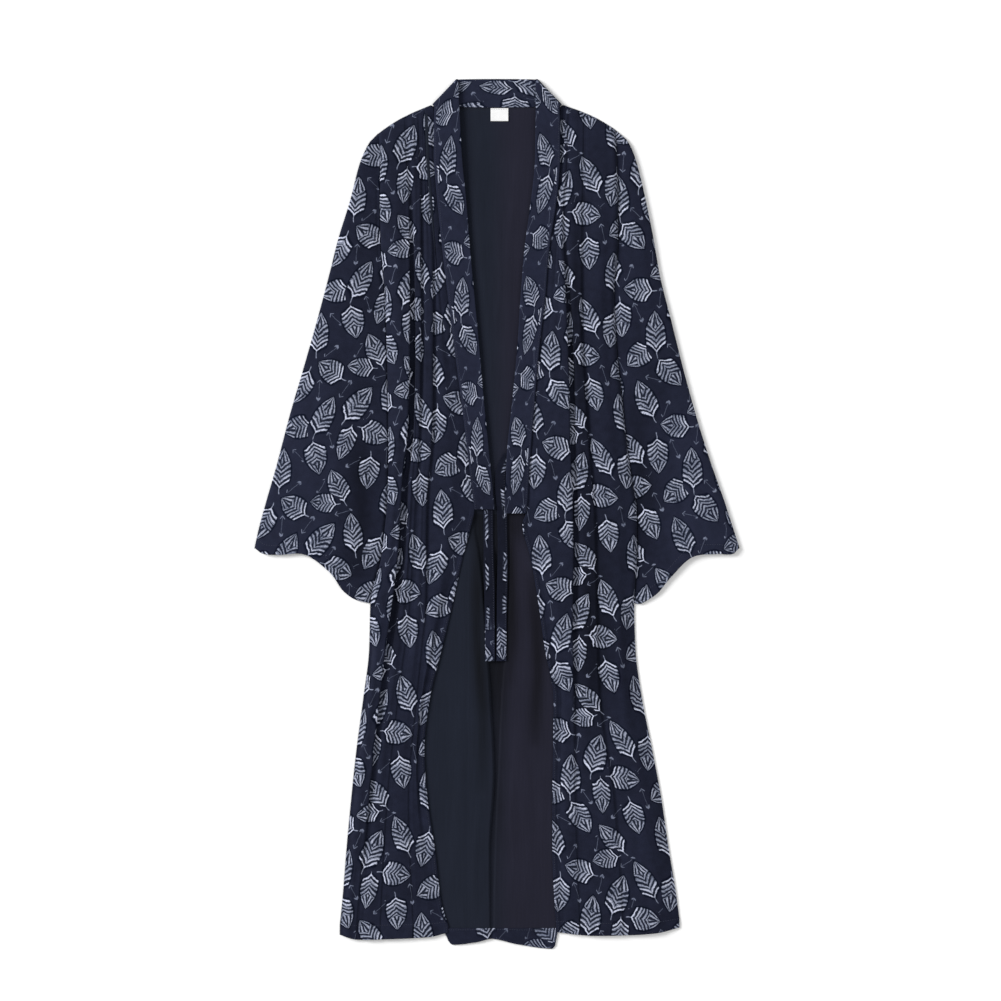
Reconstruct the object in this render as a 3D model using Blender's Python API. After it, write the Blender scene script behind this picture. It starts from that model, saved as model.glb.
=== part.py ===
"""Cotton yukata robe, open down the front and laid flat on its back.

Frame: metres, +Z up. The neck lies toward +Y and the hem toward -Y. The origin is the middle of
the underside of the robe's box. "Left" is the -X side.

Each piece of cloth is a middle surface, a grid of points worked out from the tables below, and a
Solidify modifier gives it its wall. Tables and sizes are in millimetres.
"""

import math
from collections import namedtuple

import bpy
import numpy as np

MM = 0.001

# Walls, and the gap between pieces that are sewn or lie together.
CLOTH = 1.4
BAND = 2.4
TIE = 1.6
LABEL = 1.0
GAP = 0.3

# Heights of middle surfaces above the ground.
FLOOR_LAYER = CLOTH / 2
SECOND_LAYER = CLOTH + GAP + CLOTH / 2
BAND_ARM = 5.2
BAND_NECK = 7.2
BAND_BACK = BAND / 2
SEAM_LIP = 2.0
# The rounds of cloth between folds are a sine to this power: lower is fuller.
ROUNDNESS = 0.8
# The front's rows above the last station: how far to the shoulder line, and how full there.
SHOULDER_ROWS = ((0.4, 1.0), (0.7, 0.85), (0.88, 0.55), (0.965, 0.0), (1.0, 0.0))

# The body's outline, from the hem up: side seam or armhole, and front edge, of each half.
Body = namedtuple("Body", "y left_side left_free right_free right_side")
BODY = [
    Body(-620, -236, -73, 89, 274),
    Body(-578, -232, -84, 86, 270),
    Body(-503, -226, -93, 83, 258),
    Body(-428, -219, -104, 83, 247),
    Body(-353, -211, -109, 84, 233),
    Body(-278, -201, -101, 85, 218),
    Body(-203, -192, -83, 72, 208),
    Body(-133, -190, -66, 62, 206),
    Body(-64, -174, -51, 50, 210),
    Body(-14, -168, -38, 38, 210),
    Body(6, -166, -34, 45, 210),
    Body(37, -164, -38, 47, 205),
    Body(97, -163, -45, 51, 196),
    Body(172, -164, -54, 57, 188),
    Body(262, -166, -66, 65, 179),
    Body(337, -169, -75, 74, 176),
    Body(412, -175, -84, 80, 182),
    Body(472, -176, -90, 90, 182),
    Body(532, -175, -95, 95, 180),
]
# Longer stretches between two of these rows get a row of points in their middle.
LONGEST_STEP = 60
LEFT_SHOULDER = ((-178, 572), (-95, 612))
RIGHT_SHOULDER = ((178, 577), (95, 612))
SHOULDER_RISE = 3.0

# Where the front folds run, from the side seam to the front edge.
LeftFolds = namedtuple("LeftFolds", "y deep middle near_edge")
LEFT_FOLDS = [
    LeftFolds(-630, -212, -176, -124),
    LeftFolds(-428, -192, -164, -132),
    LeftFolds(-278, -174, -148, -122),
    LeftFolds(-133, -156, -130, -106),
    LeftFolds(-9, -140, -123, -106),
    LeftFolds(107, -136, -117, -100),
    LeftFolds(277, -131, -114, -96),
    LeftFolds(442, -132, -115, -98),
    LeftFolds(600, -138, -123, -109),
]
RightFolds = namedtuple("RightFolds", "y middle deep")
RIGHT_FOLDS = [
    RightFolds(-630, 192, 132),
    RightFolds(-428, 176, 126),
    RightFolds(-278, 154, 119),
    RightFolds(-133, 149, 115),
    RightFolds(-9, 146, 114),
    RightFolds(107, 136, 112),
    RightFolds(277, 126, 105),
    RightFolds(442, 128, 101),
    RightFolds(600, 132, 107),
]

# Heights of the fronts: seams, fold bottoms, and the rounds of cloth between them.
LeftHeights = namedtuple(
    "LeftHeights", "y side round_1 deep round_2 middle round_3 near_edge round_4 free"
)
LEFT_HEIGHTS = [
    LeftHeights(-640, 2.4, 8, 5.5, 8, 6.5, 9, 6.0, 9, 5.4),
    LeftHeights(-428, 2.4, 9, 5.0, 10, 7.0, 10, 6.5, 9, 5.4),
    LeftHeights(-133, 2.4, 11, 3.6, 12, 7.5, 12, 6.5, 11, 5.4),
    LeftHeights(107, 2.4, 12, 3.4, 9, 5.0, 9, 4.6, 10, 5.2),
    LeftHeights(350, 2.4, 12, 3.6, 8, 5.0, 8, 4.6, 7, 5.2),
    LeftHeights(540, 2.4, 9, 5.5, 8, 5.5, 8, 5.2, 6, 5.2),
]
RightHeights = namedtuple(
    "RightHeights", "y side round_1 middle round_2 deep round_3 free"
)
RIGHT_HEIGHTS = [
    RightHeights(-640, 2.4, 9, 6.0, 9, 6.0, 8, 5.4),
    RightHeights(-428, 2.4, 11, 7.0, 10, 6.0, 9, 5.4),
    RightHeights(-133, 2.4, 12, 7.5, 11, 4.0, 11, 5.4),
    RightHeights(107, 2.4, 12, 6.5, 10, 3.6, 10, 5.2),
    RightHeights(350, 2.4, 11, 6.0, 9, 3.8, 8, 5.2),
    RightHeights(540, 2.4, 9, 6.0, 8, 5.4, 7, 5.2),
]

# Hem lines: y along x, from left to right.
Hem = namedtuple("Hem", "x y")
LEFT_HEM = [Hem(-236, -631), Hem(-207, -638), Hem(-164, -637), Hem(-101, -634), Hem(-73, -627)]
RIGHT_HEM = [Hem(89, -627), Hem(147, -632), Hem(200, -631), Hem(240, -628), Hem(274, -620)]
BACK_HEM = [
    Hem(-236, -625),
    Hem(-200, -629),
    Hem(-78, -629),
    Hem(-73, -640),
    Hem(-67, -646),
    Hem(-31, -642),
    Hem(-8, -637),
    Hem(30, -645),
    Hem(83, -652),
    Hem(87, -648),
    Hem(92, -624),
    Hem(200, -624),
    Hem(274, -613),
]
TURNUP_TOP = [
    Hem(-236, -606),
    Hem(-110, -609),
    Hem(-73, -621),
    Hem(87, -621),
    Hem(120, -606),
    Hem(274, -594),
]
TURNUP_SIDE_GAP = 10
TURNUP_LEVELS = (0, 0.5, 1)
HEM_ROWS = (0, 9, 30)
# The back's columns of points at the hem. Those between the fixed ones stay upright.
BACK_COLUMNS = (
    (-236, -200, -165, -135, -110, -78, -73, -67, -48, -33, -22, -14, -7)
    + (0, 8, 18, 34, 58, 83, 87, 92, 125, 165, 205, 240, 274)
)
FIXED_COLUMNS = (-110, 125)
# The back's rows above the last station: how far to its upper edge.
BACK_TOP_LEVELS = (0.5, 1)

# The back's soft folds: the foot lines of its left and right ridges, and how high these are.
BackFolds = namedtuple("BackFolds", "y left_line left_height right_line right_height")
BACK_FOLDS = [
    BackFolds(-640, -9, 2.2, -6, 2.0),
    BackFolds(-503, -10, 3.0, -4, 2.8),
    BackFolds(-391, -4, 3.6, 1, 3.2),
    BackFolds(-278, -9, 4.0, 6, 3.0),
    BackFolds(-188, -15, 3.6, 13, 2.2),
    BackFolds(-68, -25, 2.0, 18, 1.0),
    BackFolds(0, -34, 0.0, 18, 0.0),
    BackFolds(620, -34, 0.0, 18, 0.0),
]
RIDGE_RISE = 7.0
RIDGE_REACH = 78.0

# Sleeves: outer fold and inner edge from the shoulder point down to the cuff.
Sleeve = namedtuple("Sleeve", "outer_x outer_y inner_y")
LEFT_SLEEVE = [
    Sleeve(-186, 566, 569),
    Sleeve(-196, 550, 555),
    Sleeve(-206, 526, 532),
    Sleeve(-220, 472, 472),
    Sleeve(-237, 412, 410),
    Sleeve(-245, 368, 350),
    Sleeve(-271, 296, 275),
    Sleeve(-293, 220, 196),
    Sleeve(-313, 150, 115),
    Sleeve(-331, 72, 36),
    Sleeve(-346, 20, -40),
    Sleeve(-357, -20, -95),
    Sleeve(-364, -51, -133.5),
]
RIGHT_SLEEVE = [
    Sleeve(190, 568, 573),
    Sleeve(200, 553, 558),
    Sleeve(210, 526, 532),
    Sleeve(223, 472, 472),
    Sleeve(235, 412, 410),
    Sleeve(244, 360, 350),
    Sleeve(262, 288, 275),
    Sleeve(280, 216, 196),
    Sleeve(304, 130, 115),
    Sleeve(322, 74, 36),
    Sleeve(341, 20, -40),
    Sleeve(354, -20, -95),
    Sleeve(364, -51, -133.5),
]
# The cuff's line: across from the outer fold, and how far it lies above the straight line there.
Cuff = namedtuple("Cuff", "across rise")
LEFT_CUFF = [
    Cuff(0.00, 0),
    Cuff(0.06, -2),
    Cuff(0.20, 7),
    Cuff(0.46, 27),
    Cuff(0.66, 17),
    Cuff(0.77, 2),
    Cuff(0.86, -3),
    Cuff(1.00, 0),
]
RIGHT_CUFF = [
    Cuff(0.00, 0),
    Cuff(0.05, -3),
    Cuff(0.21, 9),
    Cuff(0.46, 24),
    Cuff(0.66, 10),
    Cuff(0.80, -4),
    Cuff(0.93, -6),
    Cuff(1.00, 0),
]
# How far up the sleeve the cuff's line reaches, and how high the upper layer rounds.
CUFF_REACH = 300.0
CUFF_CROWN = 4.9
SLEEVE_CROWN = 5.6
SLEEVE_FULL_WIDTH = 70.0
# How high the outer fold is at its middle line, and the width of sleeve that it takes.
SLEEVE_FOLD = 4.2
SLEEVE_FOLD_WIDTH = 20.0
# The points round a sleeve's section: shares of its width from the outer fold, and angles there.
SLEEVE_UNDER = (1.0, 0.97, 0.72, 0.48, 0.27, 0.12)
SLEEVE_TURN = (-60, -20, 20, 60)
SLEEVE_UPPER = (0.07, 0.15, 0.26, 0.38, 0.48, 0.58, 0.68, 0.77, 0.86, 0.92, 0.97, 1.0)
# Rows of the sleeve above the body's last row, by the y of their inner end.
SLEEVE_CAP = (545, 558, 569)

# The collar band's free edges, from its blunt ends up to the neck.
Collar = namedtuple("Collar", "y left_inner right_inner")
COLLAR = [
    Collar(6, -3.5, 11.5),
    Collar(52, -7.5, 13),
    Collar(97, -12, 15),
    Collar(172, -19.5, 23),
    Collar(247, -26, 30),
    Collar(322, -33, 35),
    Collar(397, -40, 41),
    Collar(472, -46, 51),
    Collar(532, -52, 57),
    Collar(600, -58, 58.5),
]
LEFT_BAND_END = 7.5
RIGHT_BAND_END = 1.5
# Where up the robe the arms start to rise over the neck turn, and over what length they do.
BAND_RISE_START = 440.0
BAND_RISE_LENGTH = 90.0
# The band's rows: tilting to the neck turn, round it in degrees, and behind the neck.
BAND_TILT = (0.2, 0.4, 0.6, 0.8, 1.0)
BAND_TURN = (30, 60, 90, 120, 150, 180)
BAND_BACK_ROWS = 13
BAND_COLUMNS = 4
# Where the band folds over at the side of the neck: outer and inner ends of the fold line.
LEFT_TURN = ((-97.5, 615.5), (-61.5, 652.5))
RIGHT_TURN = ((97.5, 615.5), (61.5, 652.5))
TURN_RADIUS = (BAND_NECK - BAND_BACK) / 2
NECK_SEAM = 610.5
NECK_SEAM_RISE = 2.0
NECK_TOP = 653.0
NECK_TOP_RISE = 1.5

# Ties: middle lines from the sewn end down.
Tie = namedtuple("Tie", "y left_x right_x")
TIES = [
    Tie(92, None, 17),
    Tie(75, None, 9),
    Tie(58, None, 5),
    Tie(37, None, 5),
    Tie(22, -16, 6),
    Tie(5, -13.5, 7.5),
    Tie(-68, -12.5, 8.5),
    Tie(-128, -11, 7.5),
    Tie(-220, -10.5, 6.5),
]
TIE_WIDTH = 15.5
TIE_ROWS = 18

LABEL_LEFT = -9.5
LABEL_RIGHT = 17.0
LABEL_LOWER = 590.5
LABEL_UPPER = 610.0

NAVY = (0.016, 0.018, 0.036)
REVERSE = (0.022, 0.024, 0.042)
WHITE = (0.80, 0.80, 0.80)
CLOTH_ROUGHNESS = 0.85


def smooth_curve(knots, values, wanted):
    """Cubic through the knots whose slope is 0 where the values turn, so it never overshoots."""
    knots = np.asarray(knots, float)
    values = np.asarray(values, float)
    wanted = np.asarray(wanted, float)
    steps = np.diff(knots)
    slopes = np.diff(values) / steps
    product = slopes[:-1] * slopes[1:]
    total = np.where(product > 0, slopes[:-1] + slopes[1:], 1.0)
    inner = np.where(product > 0, 2 * product / total, 0.0)
    tangents = np.concatenate([slopes[:1], inner, slopes[-1:]])
    span = np.clip(np.searchsorted(knots, wanted) - 1, 0, len(steps) - 1)
    t = np.clip((wanted - knots[span]) / steps[span], 0, 1)
    start = (1 + 2 * t) * (1 - t) ** 2 * values[span]
    start_slope = t * (1 - t) ** 2 * steps[span] * tangents[span]
    end = t * t * (3 - 2 * t) * values[span + 1]
    end_slope = t * t * (t - 1) * steps[span] * tangents[span + 1]
    return start + start_slope + end + end_slope


def column(table, name, wanted, along="y"):
    """The named column of a table as a smooth curve of another of its columns."""
    rows = sorted(table, key=lambda row: getattr(row, along))
    knots = [getattr(row, along) for row in rows]
    return smooth_curve(knots, [getattr(row, name) for row in rows], wanted)


def ease(t):
    """0 to 1 with level ends."""
    t = np.clip(t, 0, 1)
    return t * t * (3 - 2 * t)


def mix(a, b, t):
    return a + (b - a) * t


def stations():
    """y of the rows that every panel shares, so that edges that meet bend at the same points."""
    ys = [BODY[0].y]
    for lower, upper in zip(BODY, BODY[1:]):
        if upper.y - lower.y > LONGEST_STEP:
            ys.append((lower.y + upper.y) / 2)
        ys.append(upper.y)
    return np.array(ys, float)


def body_edge(name, y):
    """x of an edge of the body: straight between stations, and from the last one to the shoulder."""
    ends = {
        "left_side": LEFT_SHOULDER[0],
        "left_free": LEFT_SHOULDER[1],
        "right_side": RIGHT_SHOULDER[0],
        "right_free": RIGHT_SHOULDER[1],
    }
    end_x, end_y = ends[name]
    ys = stations()
    xs = column(BODY, name, ys)
    return np.interp(y, np.append(ys, end_y), np.append(xs, end_x))


def material(name, color, roughness):
    made = bpy.data.materials.new(name)
    made.use_nodes = True
    shader = made.node_tree.nodes["Principled BSDF"]
    shader.inputs["Base Color"].default_value = (*color, 1)
    shader.inputs["Roughness"].default_value = roughness
    shader.inputs["Metallic"].default_value = 0
    return made


def cloth(name, points, wall, color):
    """A named piece: a grid of middle points, rows by columns by xyz, thickened evenly both ways."""
    rows, columns = points.shape[:2]
    index = np.arange(rows * columns).reshape(rows, columns)
    corners = [index[:-1, :-1], index[:-1, 1:], index[1:, 1:], index[1:, :-1]]
    faces = np.stack([corner.ravel() for corner in corners], axis=1)
    mesh = bpy.data.meshes.new(name)
    mesh.from_pydata((points.reshape(-1, 3) * MM).tolist(), [], faces.tolist())
    mesh.update()
    mesh.shade_smooth()
    mesh.materials.append(material(name, color, CLOTH_ROUGHNESS))
    piece = bpy.data.objects.new(name, mesh)
    bpy.context.scene.collection.objects.link(piece)
    thicken = piece.modifiers.new("Wall", "SOLIDIFY")
    thicken.thickness = wall * MM
    thicken.offset = 0
    thicken.use_even_offset = True
    return piece


def back_height(x, y):
    """Middle height of the back: flat on the ground, with two soft ridges beside its lower middle."""
    to_left = column(BACK_FOLDS, "left_line", y) - x
    to_right = x - column(BACK_FOLDS, "right_line", y)
    height = FLOOR_LAYER
    for beyond, name in ((to_left, "left_height"), (to_right, "right_height")):
        fade = np.clip(1 - (beyond / RIDGE_REACH) ** 2, 0, 1) ** 2
        height = height + column(BACK_FOLDS, name, y) * ease(beyond / RIDGE_RISE) * fade
    return height


def neck_seam(x):
    """y of the back neck seam."""
    return NECK_SEAM + NECK_SEAM_RISE * (x / LEFT_TURN[0][0]) ** 2


def back_top(x):
    """y of the back's upper edge: the shoulder lines, and the neck seam between them."""
    edge = neck_seam(x) - GAP
    for outer, inner in (LEFT_SHOULDER, RIGHT_SHOULDER):
        t = (x - inner[0]) / (outer[0] - inner[0])
        edge = np.where(t > 0, mix(inner[1] - GAP, outer[1], t) + shoulder_rise(t), edge)
    return edge


def shoulder_rise(t):
    """How far the shoulder line rounds above a straight line, at a share of its length."""
    return SHOULDER_RISE * np.sin(math.pi * np.clip(t, 0, 1))


def back_columns(left, right):
    """x of the back's columns in a row that runs from left to right."""
    hem_x = np.array(BACK_COLUMNS, float)
    return np.interp(hem_x, [hem_x[0], *FIXED_COLUMNS, hem_x[-1]], [left, *FIXED_COLUMNS, right])


def back():
    """One panel under everything: its outline is the two side seams, the shoulders and the hem."""
    hem_x = np.array(BACK_COLUMNS, float)
    hem = column(BACK_HEM, "y", hem_x, along="x")
    rows = [(hem_x, hem + rise) for rise in HEM_ROWS[:2]]
    for y in stations()[1:]:
        x = back_columns(body_edge("left_side", y), body_edge("right_side", y))
        rows.append((x, np.full_like(x, y)))
    below_y = rows[-1][1]
    top_x = back_columns(LEFT_SHOULDER[0][0], RIGHT_SHOULDER[0][0])
    for level in BACK_TOP_LEVELS:
        y = mix(below_y, back_top(top_x), level)
        x = back_columns(body_edge("left_side", y[0]), body_edge("right_side", y[-1]))
        rows.append((x, y))
    points = [np.stack([x, y, back_height(x, y)], axis=1) for x, y in rows]
    return cloth("back", np.array(points), CLOTH, REVERSE)


def back_hem_turnup():
    """The hem allowance, folded up on the inside of the back. It starts inside the side seams."""
    x = np.array(BACK_COLUMNS, float)
    x[0] += TURNUP_SIDE_GAP
    x[-1] -= TURNUP_SIDE_GAP
    lower = column(BACK_HEM, "y", x, along="x") + GAP
    upper = column(TURNUP_TOP, "y", x, along="x")
    rows = []
    for level in TURNUP_LEVELS:
        y = mix(lower, upper, level)
        rows.append(np.stack([x, y, back_height(x, y) + CLOTH + GAP], axis=1))
    return cloth("back_hem_turnup", np.array(rows), CLOTH, NAVY)


def section(guides, heights, steps):
    """One cross section: a level lip at each seam, and rounds of cloth between the fold bottoms.

    guides are the x of lip, fold bottoms and lip. heights are those of seam, round, fold bottom,
    round and so on to the other seam. steps are the spaces that each round is cut into.
    """
    xs = []
    zs = []
    for span, count in enumerate(steps):
        t = np.arange(count) / count
        start, top, end = heights[2 * span : 2 * span + 3]
        swell = top - (start + end) / 2
        xs.extend(mix(guides[span], guides[span + 1], t))
        zs.extend(mix(start, end, t) + swell * np.sin(math.pi * t) ** ROUNDNESS)
    return [*xs, guides[-1]], [*zs, heights[-1]]


def front(name, side, edge, folds, heights, hem, shoulder, steps):
    """A front panel, from its hem to the shoulder, with its long folds."""
    inward = 1 if side == "left_side" else -1
    fold_names = [field for field in folds[0]._fields if field != "y"]
    height_names = [field for field in heights[0]._fields if field != "y"]
    rows = []
    for y in stations():
        outer = body_edge(side, y)
        inner = body_edge(edge, y)
        lines = [column(folds, fold, y) for fold in fold_names]
        guides = [outer + inward * SEAM_LIP, *lines, inner - inward * SEAM_LIP]
        levels = [column(heights, field, y) for field in height_names]
        xs, zs = section(guides, levels, steps)
        xs = np.array([outer, *xs, inner])
        zs = np.array([levels[0], *zs, levels[-1]])
        rows.append(np.stack([xs, np.full_like(xs, y), zs], axis=1))
    bottom = [hem_row(rows[0], hem, rise) for rise in HEM_ROWS]
    return cloth(name, np.array(bottom + rows[1:] + shoulder_rows(rows[-1], shoulder)), CLOTH, NAVY)


def hem_row(above, hem, rise):
    """A row that follows the hem line, this far above it."""
    row = above.copy()
    leftward = bool(above[0, 0] > above[-1, 0])
    ends = sorted([hem[0].x, hem[-1].x], reverse=leftward)
    across = (above[:, 0] - above[0, 0]) / (above[-1, 0] - above[0, 0])
    row[:, 0] = mix(ends[0], ends[1], across)
    row[:, 1] = column(hem, "y", row[:, 0], along="x") + rise
    return row


def shoulder_rows(below, shoulder):
    """Rows that tilt to the shoulder line and sink to its seam."""
    across = (below[:, 0] - below[0, 0]) / (below[-1, 0] - below[0, 0])
    edge_x = mix(shoulder[0][0], shoulder[1][0], across)
    edge_y = mix(shoulder[0][1], shoulder[1][1], across) + shoulder_rise(across)
    rows = []
    for level, fullness in SHOULDER_ROWS:
        row = np.empty_like(below)
        row[:, 0] = mix(below[:, 0], edge_x, level)
        row[:, 1] = mix(below[:, 1], edge_y, level)
        row[:, 2] = mix(SECOND_LAYER, below[:, 2], fullness)
        rows.append(row)
    return rows


def sleeve(name, table, cuff, side):
    """A flat sleeve: under layer on the ground, outer fold, upper layer. Open at cuff and armhole."""
    inward = 1 if side == "left_side" else -1
    shared = [y for y in stations() if y >= table[-1].inner_y]
    turn = np.radians(SLEEVE_TURN)
    across = np.array([*SLEEVE_UNDER, *([0] * len(turn)), *SLEEVE_UPPER])
    upper = np.array(SLEEVE_UPPER)
    lip = SLEEVE_UPPER[-2]
    rise = column(cuff, "rise", across, along="across")
    rows = []
    for inner_y in [*shared, *SLEEVE_CAP]:
        outer_x = column(table, "outer_x", inner_y, along="inner_y")
        outer_y = column(table, "outer_y", inner_y, along="inner_y")
        inner_x = body_edge(side, inner_y) - inward * GAP
        width = abs(inner_x - outer_x)
        radius = SLEEVE_FOLD / 2 * min(1, width / SLEEVE_FOLD_WIDTH)
        x = mix(outer_x, inner_x, across)
        x[len(SLEEVE_UNDER) : -len(upper)] += inward * radius * (1 - np.cos(turn))
        y = mix(outer_y, inner_y, across)
        y += rise * ease(1 - (inner_y - table[-1].inner_y) / CUFF_REACH)
        swell = np.sin(math.pi * np.clip(upper / lip, 0, 1)) ** ROUNDNESS
        crown = mix(CUFF_CROWN, SLEEVE_CROWN, ease((inner_y - table[-1].inner_y) / CUFF_REACH))
        shoulder = mix(FLOOR_LAYER + 2 * radius, SECOND_LAYER, ease(upper / lip))
        top = shoulder + (crown - SECOND_LAYER) * swell * min(1, width / SLEEVE_FULL_WIDTH)
        fold = FLOOR_LAYER + radius * (1 + np.sin(turn))
        z = np.concatenate([np.full(len(SLEEVE_UNDER), FLOOR_LAYER), fold, top])
        rows.append(np.stack([x, y, z], axis=1))
    return cloth(name, np.array(rows), CLOTH, NAVY)


def turn_away(turn):
    """Unit direction, level, from the robe out over the fold line."""
    outer, inner = np.array(turn, float)
    along = (inner - outer) / np.linalg.norm(inner - outer)
    sideways = np.array([-along[1], along[0]])
    return sideways * np.sign(sideways[1])


def turn_axis(turn):
    """The line about which the band turns over: inside the fold line by the turn's outer radius."""
    return np.array(turn, float) - turn_away(turn) * (TURN_RADIUS + BAND / 2)


def level_row(ends, height):
    """A row of the band: its seam end and its free end, at one height."""
    return [[*ends[0], height], [*ends[1], height]]


def band_arm(seam_name, inner_name, end, turn):
    """Rows of one arm of the collar band, from its blunt end to where it turns over at the neck."""
    inward = 1 if seam_name == "left_free" else -1
    rows = []
    for y in [end, *(y for y in stations() if y > end + SEAM_LIP)]:
        seam_x = body_edge(seam_name, y) + inward * GAP
        ends = np.array([[seam_x, y], [column(COLLAR, inner_name, y), y]])
        risen = ease((y - BAND_RISE_START) / BAND_RISE_LENGTH)
        rows.append(level_row(ends, mix(BAND_ARM, BAND_NECK, risen)))
    for level in BAND_TILT:
        rows.append(level_row(mix(ends, turn_axis(turn), level), BAND_NECK))
    return rows


def band_turn(turn):
    """Rows of the half turn that takes the band from over the front to behind the neck."""
    middle = (BAND_NECK + BAND_BACK) / 2
    rows = []
    for angle in np.radians(BAND_TURN):
        ends = turn_axis(turn) + turn_away(turn) * TURN_RADIUS * math.sin(angle)
        rows.append(level_row(ends, middle + TURN_RADIUS * math.cos(angle)))
    return rows


def band_back():
    """Rows of the stretch behind the neck, flat on the ground with the inner face up."""
    left = turn_axis(LEFT_TURN)
    right = turn_axis(RIGHT_TURN)
    rows = []
    for part in np.linspace(0, 1, BAND_BACK_ROWS + 2)[1:-1]:
        low, high = mix(left, right, part)
        settled = ease(4 * min(part, 1 - part))
        low_y = max(mix(low[1], neck_seam(low[0]), settled), neck_seam(low[0]))
        crown = NECK_TOP + NECK_TOP_RISE * (1 - (2 * part - 1) ** 2)
        high_y = mix(high[1], crown, settled)
        rows.append(level_row(((low[0], low_y), (high[0], high_y)), BAND_BACK))
    return rows


def collar_band():
    """One long double band: up the left front, over at the neck, behind it, and down the right."""
    left = band_arm("left_free", "left_inner", LEFT_BAND_END, LEFT_TURN) + band_turn(LEFT_TURN)
    right = band_arm("right_free", "right_inner", RIGHT_BAND_END, RIGHT_TURN) + band_turn(RIGHT_TURN)
    ends = np.array(left + band_back() + right[::-1])
    across = np.linspace(0, 1, BAND_COLUMNS)[None, :, None]
    return cloth("collar_band", mix(ends[:, :1], ends[:, 1:], across), BAND, NAVY)


def tie(name, x_name):
    """A narrow folded strip that starts under the band and lies on the inside of the back."""
    table = [row for row in TIES if getattr(row, x_name) is not None]
    y = np.linspace(table[0].y, table[-1].y, TIE_ROWS)[:, None] + np.zeros(3)
    x = column(table, x_name, y) + np.array([-0.5, 0, 0.5]) * TIE_WIDTH
    around = np.linspace(-TIE_WIDTH, TIE_WIDTH, TIE_ROWS)
    beneath = back_height(x[:, 1:2] + around, y[:, 1:2] + 0 * around).max(axis=1, keepdims=True)
    height = beneath + CLOTH / 2 + GAP + TIE / 2
    return cloth(name, np.stack([x, y, height + np.zeros(3)], axis=2), TIE, NAVY)


def neck_label():
    """A small blank label under the back neck seam."""
    x, y = np.meshgrid([LABEL_LEFT, LABEL_RIGHT], [LABEL_LOWER, LABEL_UPPER])
    z = np.full_like(x, CLOTH + GAP + LABEL / 2)
    return cloth("neck_label", np.stack([x, y, z], axis=2), LABEL, WHITE)


def main():
    for old in list(bpy.data.objects):
        bpy.data.objects.remove(old, do_unlink=True)
    back()
    back_hem_turnup()
    front(
        "left_front", "left_side", "left_free", LEFT_FOLDS, LEFT_HEIGHTS, LEFT_HEM, LEFT_SHOULDER,
        steps=(5, 4, 4, 5),
    )
    front(
        "right_front", "right_side", "right_free", RIGHT_FOLDS, RIGHT_HEIGHTS, RIGHT_HEM,
        RIGHT_SHOULDER, steps=(6, 5, 6),
    )
    sleeve("left_sleeve", LEFT_SLEEVE, LEFT_CUFF, "left_side")
    sleeve("right_sleeve", RIGHT_SLEEVE, RIGHT_CUFF, "right_side")
    collar_band()
    tie("left_tie", "left_x")
    tie("right_tie", "right_x")
    neck_label()


if __name__ == "__main__":
    main()
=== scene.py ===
"""Looks of a cotton yukata robe that lies open on its back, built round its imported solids.

Laid out as a Blender add-on and run as a script: main() registers it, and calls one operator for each
piece or pair of pieces.

Frame: metres, +Z up, neck toward +Y. "Left" is the -X side. Tables and sizes are in millimetres.
Every sheet is a grid of middle points worked out from the tables, with a Solidify modifier for its
wall. The collar band and the ties are closed strips, since their cloth is folded double. The UV map
"Cloth" holds the place of each point on the uncut cloth, in metres, and the print and the weave
read that, so that folds hide print as they hide cloth.
"""

import math
from collections import namedtuple

import bpy
import numpy as np
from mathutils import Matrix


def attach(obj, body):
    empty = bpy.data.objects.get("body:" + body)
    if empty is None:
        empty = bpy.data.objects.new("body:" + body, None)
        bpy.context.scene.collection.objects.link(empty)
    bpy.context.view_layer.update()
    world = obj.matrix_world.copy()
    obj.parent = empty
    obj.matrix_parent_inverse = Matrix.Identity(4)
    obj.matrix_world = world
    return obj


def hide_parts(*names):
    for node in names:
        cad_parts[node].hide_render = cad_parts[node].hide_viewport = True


bl_info = {
    "name": "Cotton yukata robe",
    "version": (1, 0, 0),
    "blender": (4, 5, 0),
    "location": "3D View > Sidebar > Robe",
    "description": "Dresses the packed solids of a cotton robe that lies open on its back",
    "category": "Object",
}

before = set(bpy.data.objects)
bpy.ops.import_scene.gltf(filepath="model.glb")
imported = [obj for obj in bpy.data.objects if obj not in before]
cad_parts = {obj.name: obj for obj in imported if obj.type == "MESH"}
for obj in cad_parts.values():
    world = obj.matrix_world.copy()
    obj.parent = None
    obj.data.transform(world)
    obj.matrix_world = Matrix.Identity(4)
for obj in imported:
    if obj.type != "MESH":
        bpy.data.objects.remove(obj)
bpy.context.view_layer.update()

MM = 0.001
BODY_NAME = "root"
FLAT_MAP = "Cloth"


def table_of(kind, *rows):
    """A table: its rows as named tuples of this kind."""
    return [kind(*row) for row in rows]


# -------- Outlines, the same as those of the solids --------

# The body, from the hem up: side seam or armhole, and front edge, of each half.
Body = namedtuple("Body", "y left_side left_free right_free right_side")
BODY = table_of(
    Body,
    (-620, -236, -73, 89, 274),
    (-578, -232, -84, 86, 270),
    (-503, -226, -93, 83, 258),
    (-428, -219, -104, 83, 247),
    (-353, -211, -109, 84, 233),
    (-278, -201, -101, 85, 218),
    (-203, -192, -83, 72, 208),
    (-133, -190, -66, 62, 206),
    (-64, -174, -51, 50, 210),
    (-14, -168, -38, 38, 210),
    (6, -166, -34, 45, 210),
    (37, -164, -38, 47, 205),
    (97, -163, -45, 51, 196),
    (172, -164, -54, 57, 188),
    (262, -166, -66, 65, 179),
    (337, -169, -75, 74, 176),
    (412, -175, -84, 80, 182),
    (472, -176, -90, 90, 182),
    (532, -175, -95, 95, 180),
)
LEFT_SHOULDER = ((-178, 572), (-95, 612))
RIGHT_SHOULDER = ((178, 577), (95, 612))
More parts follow.
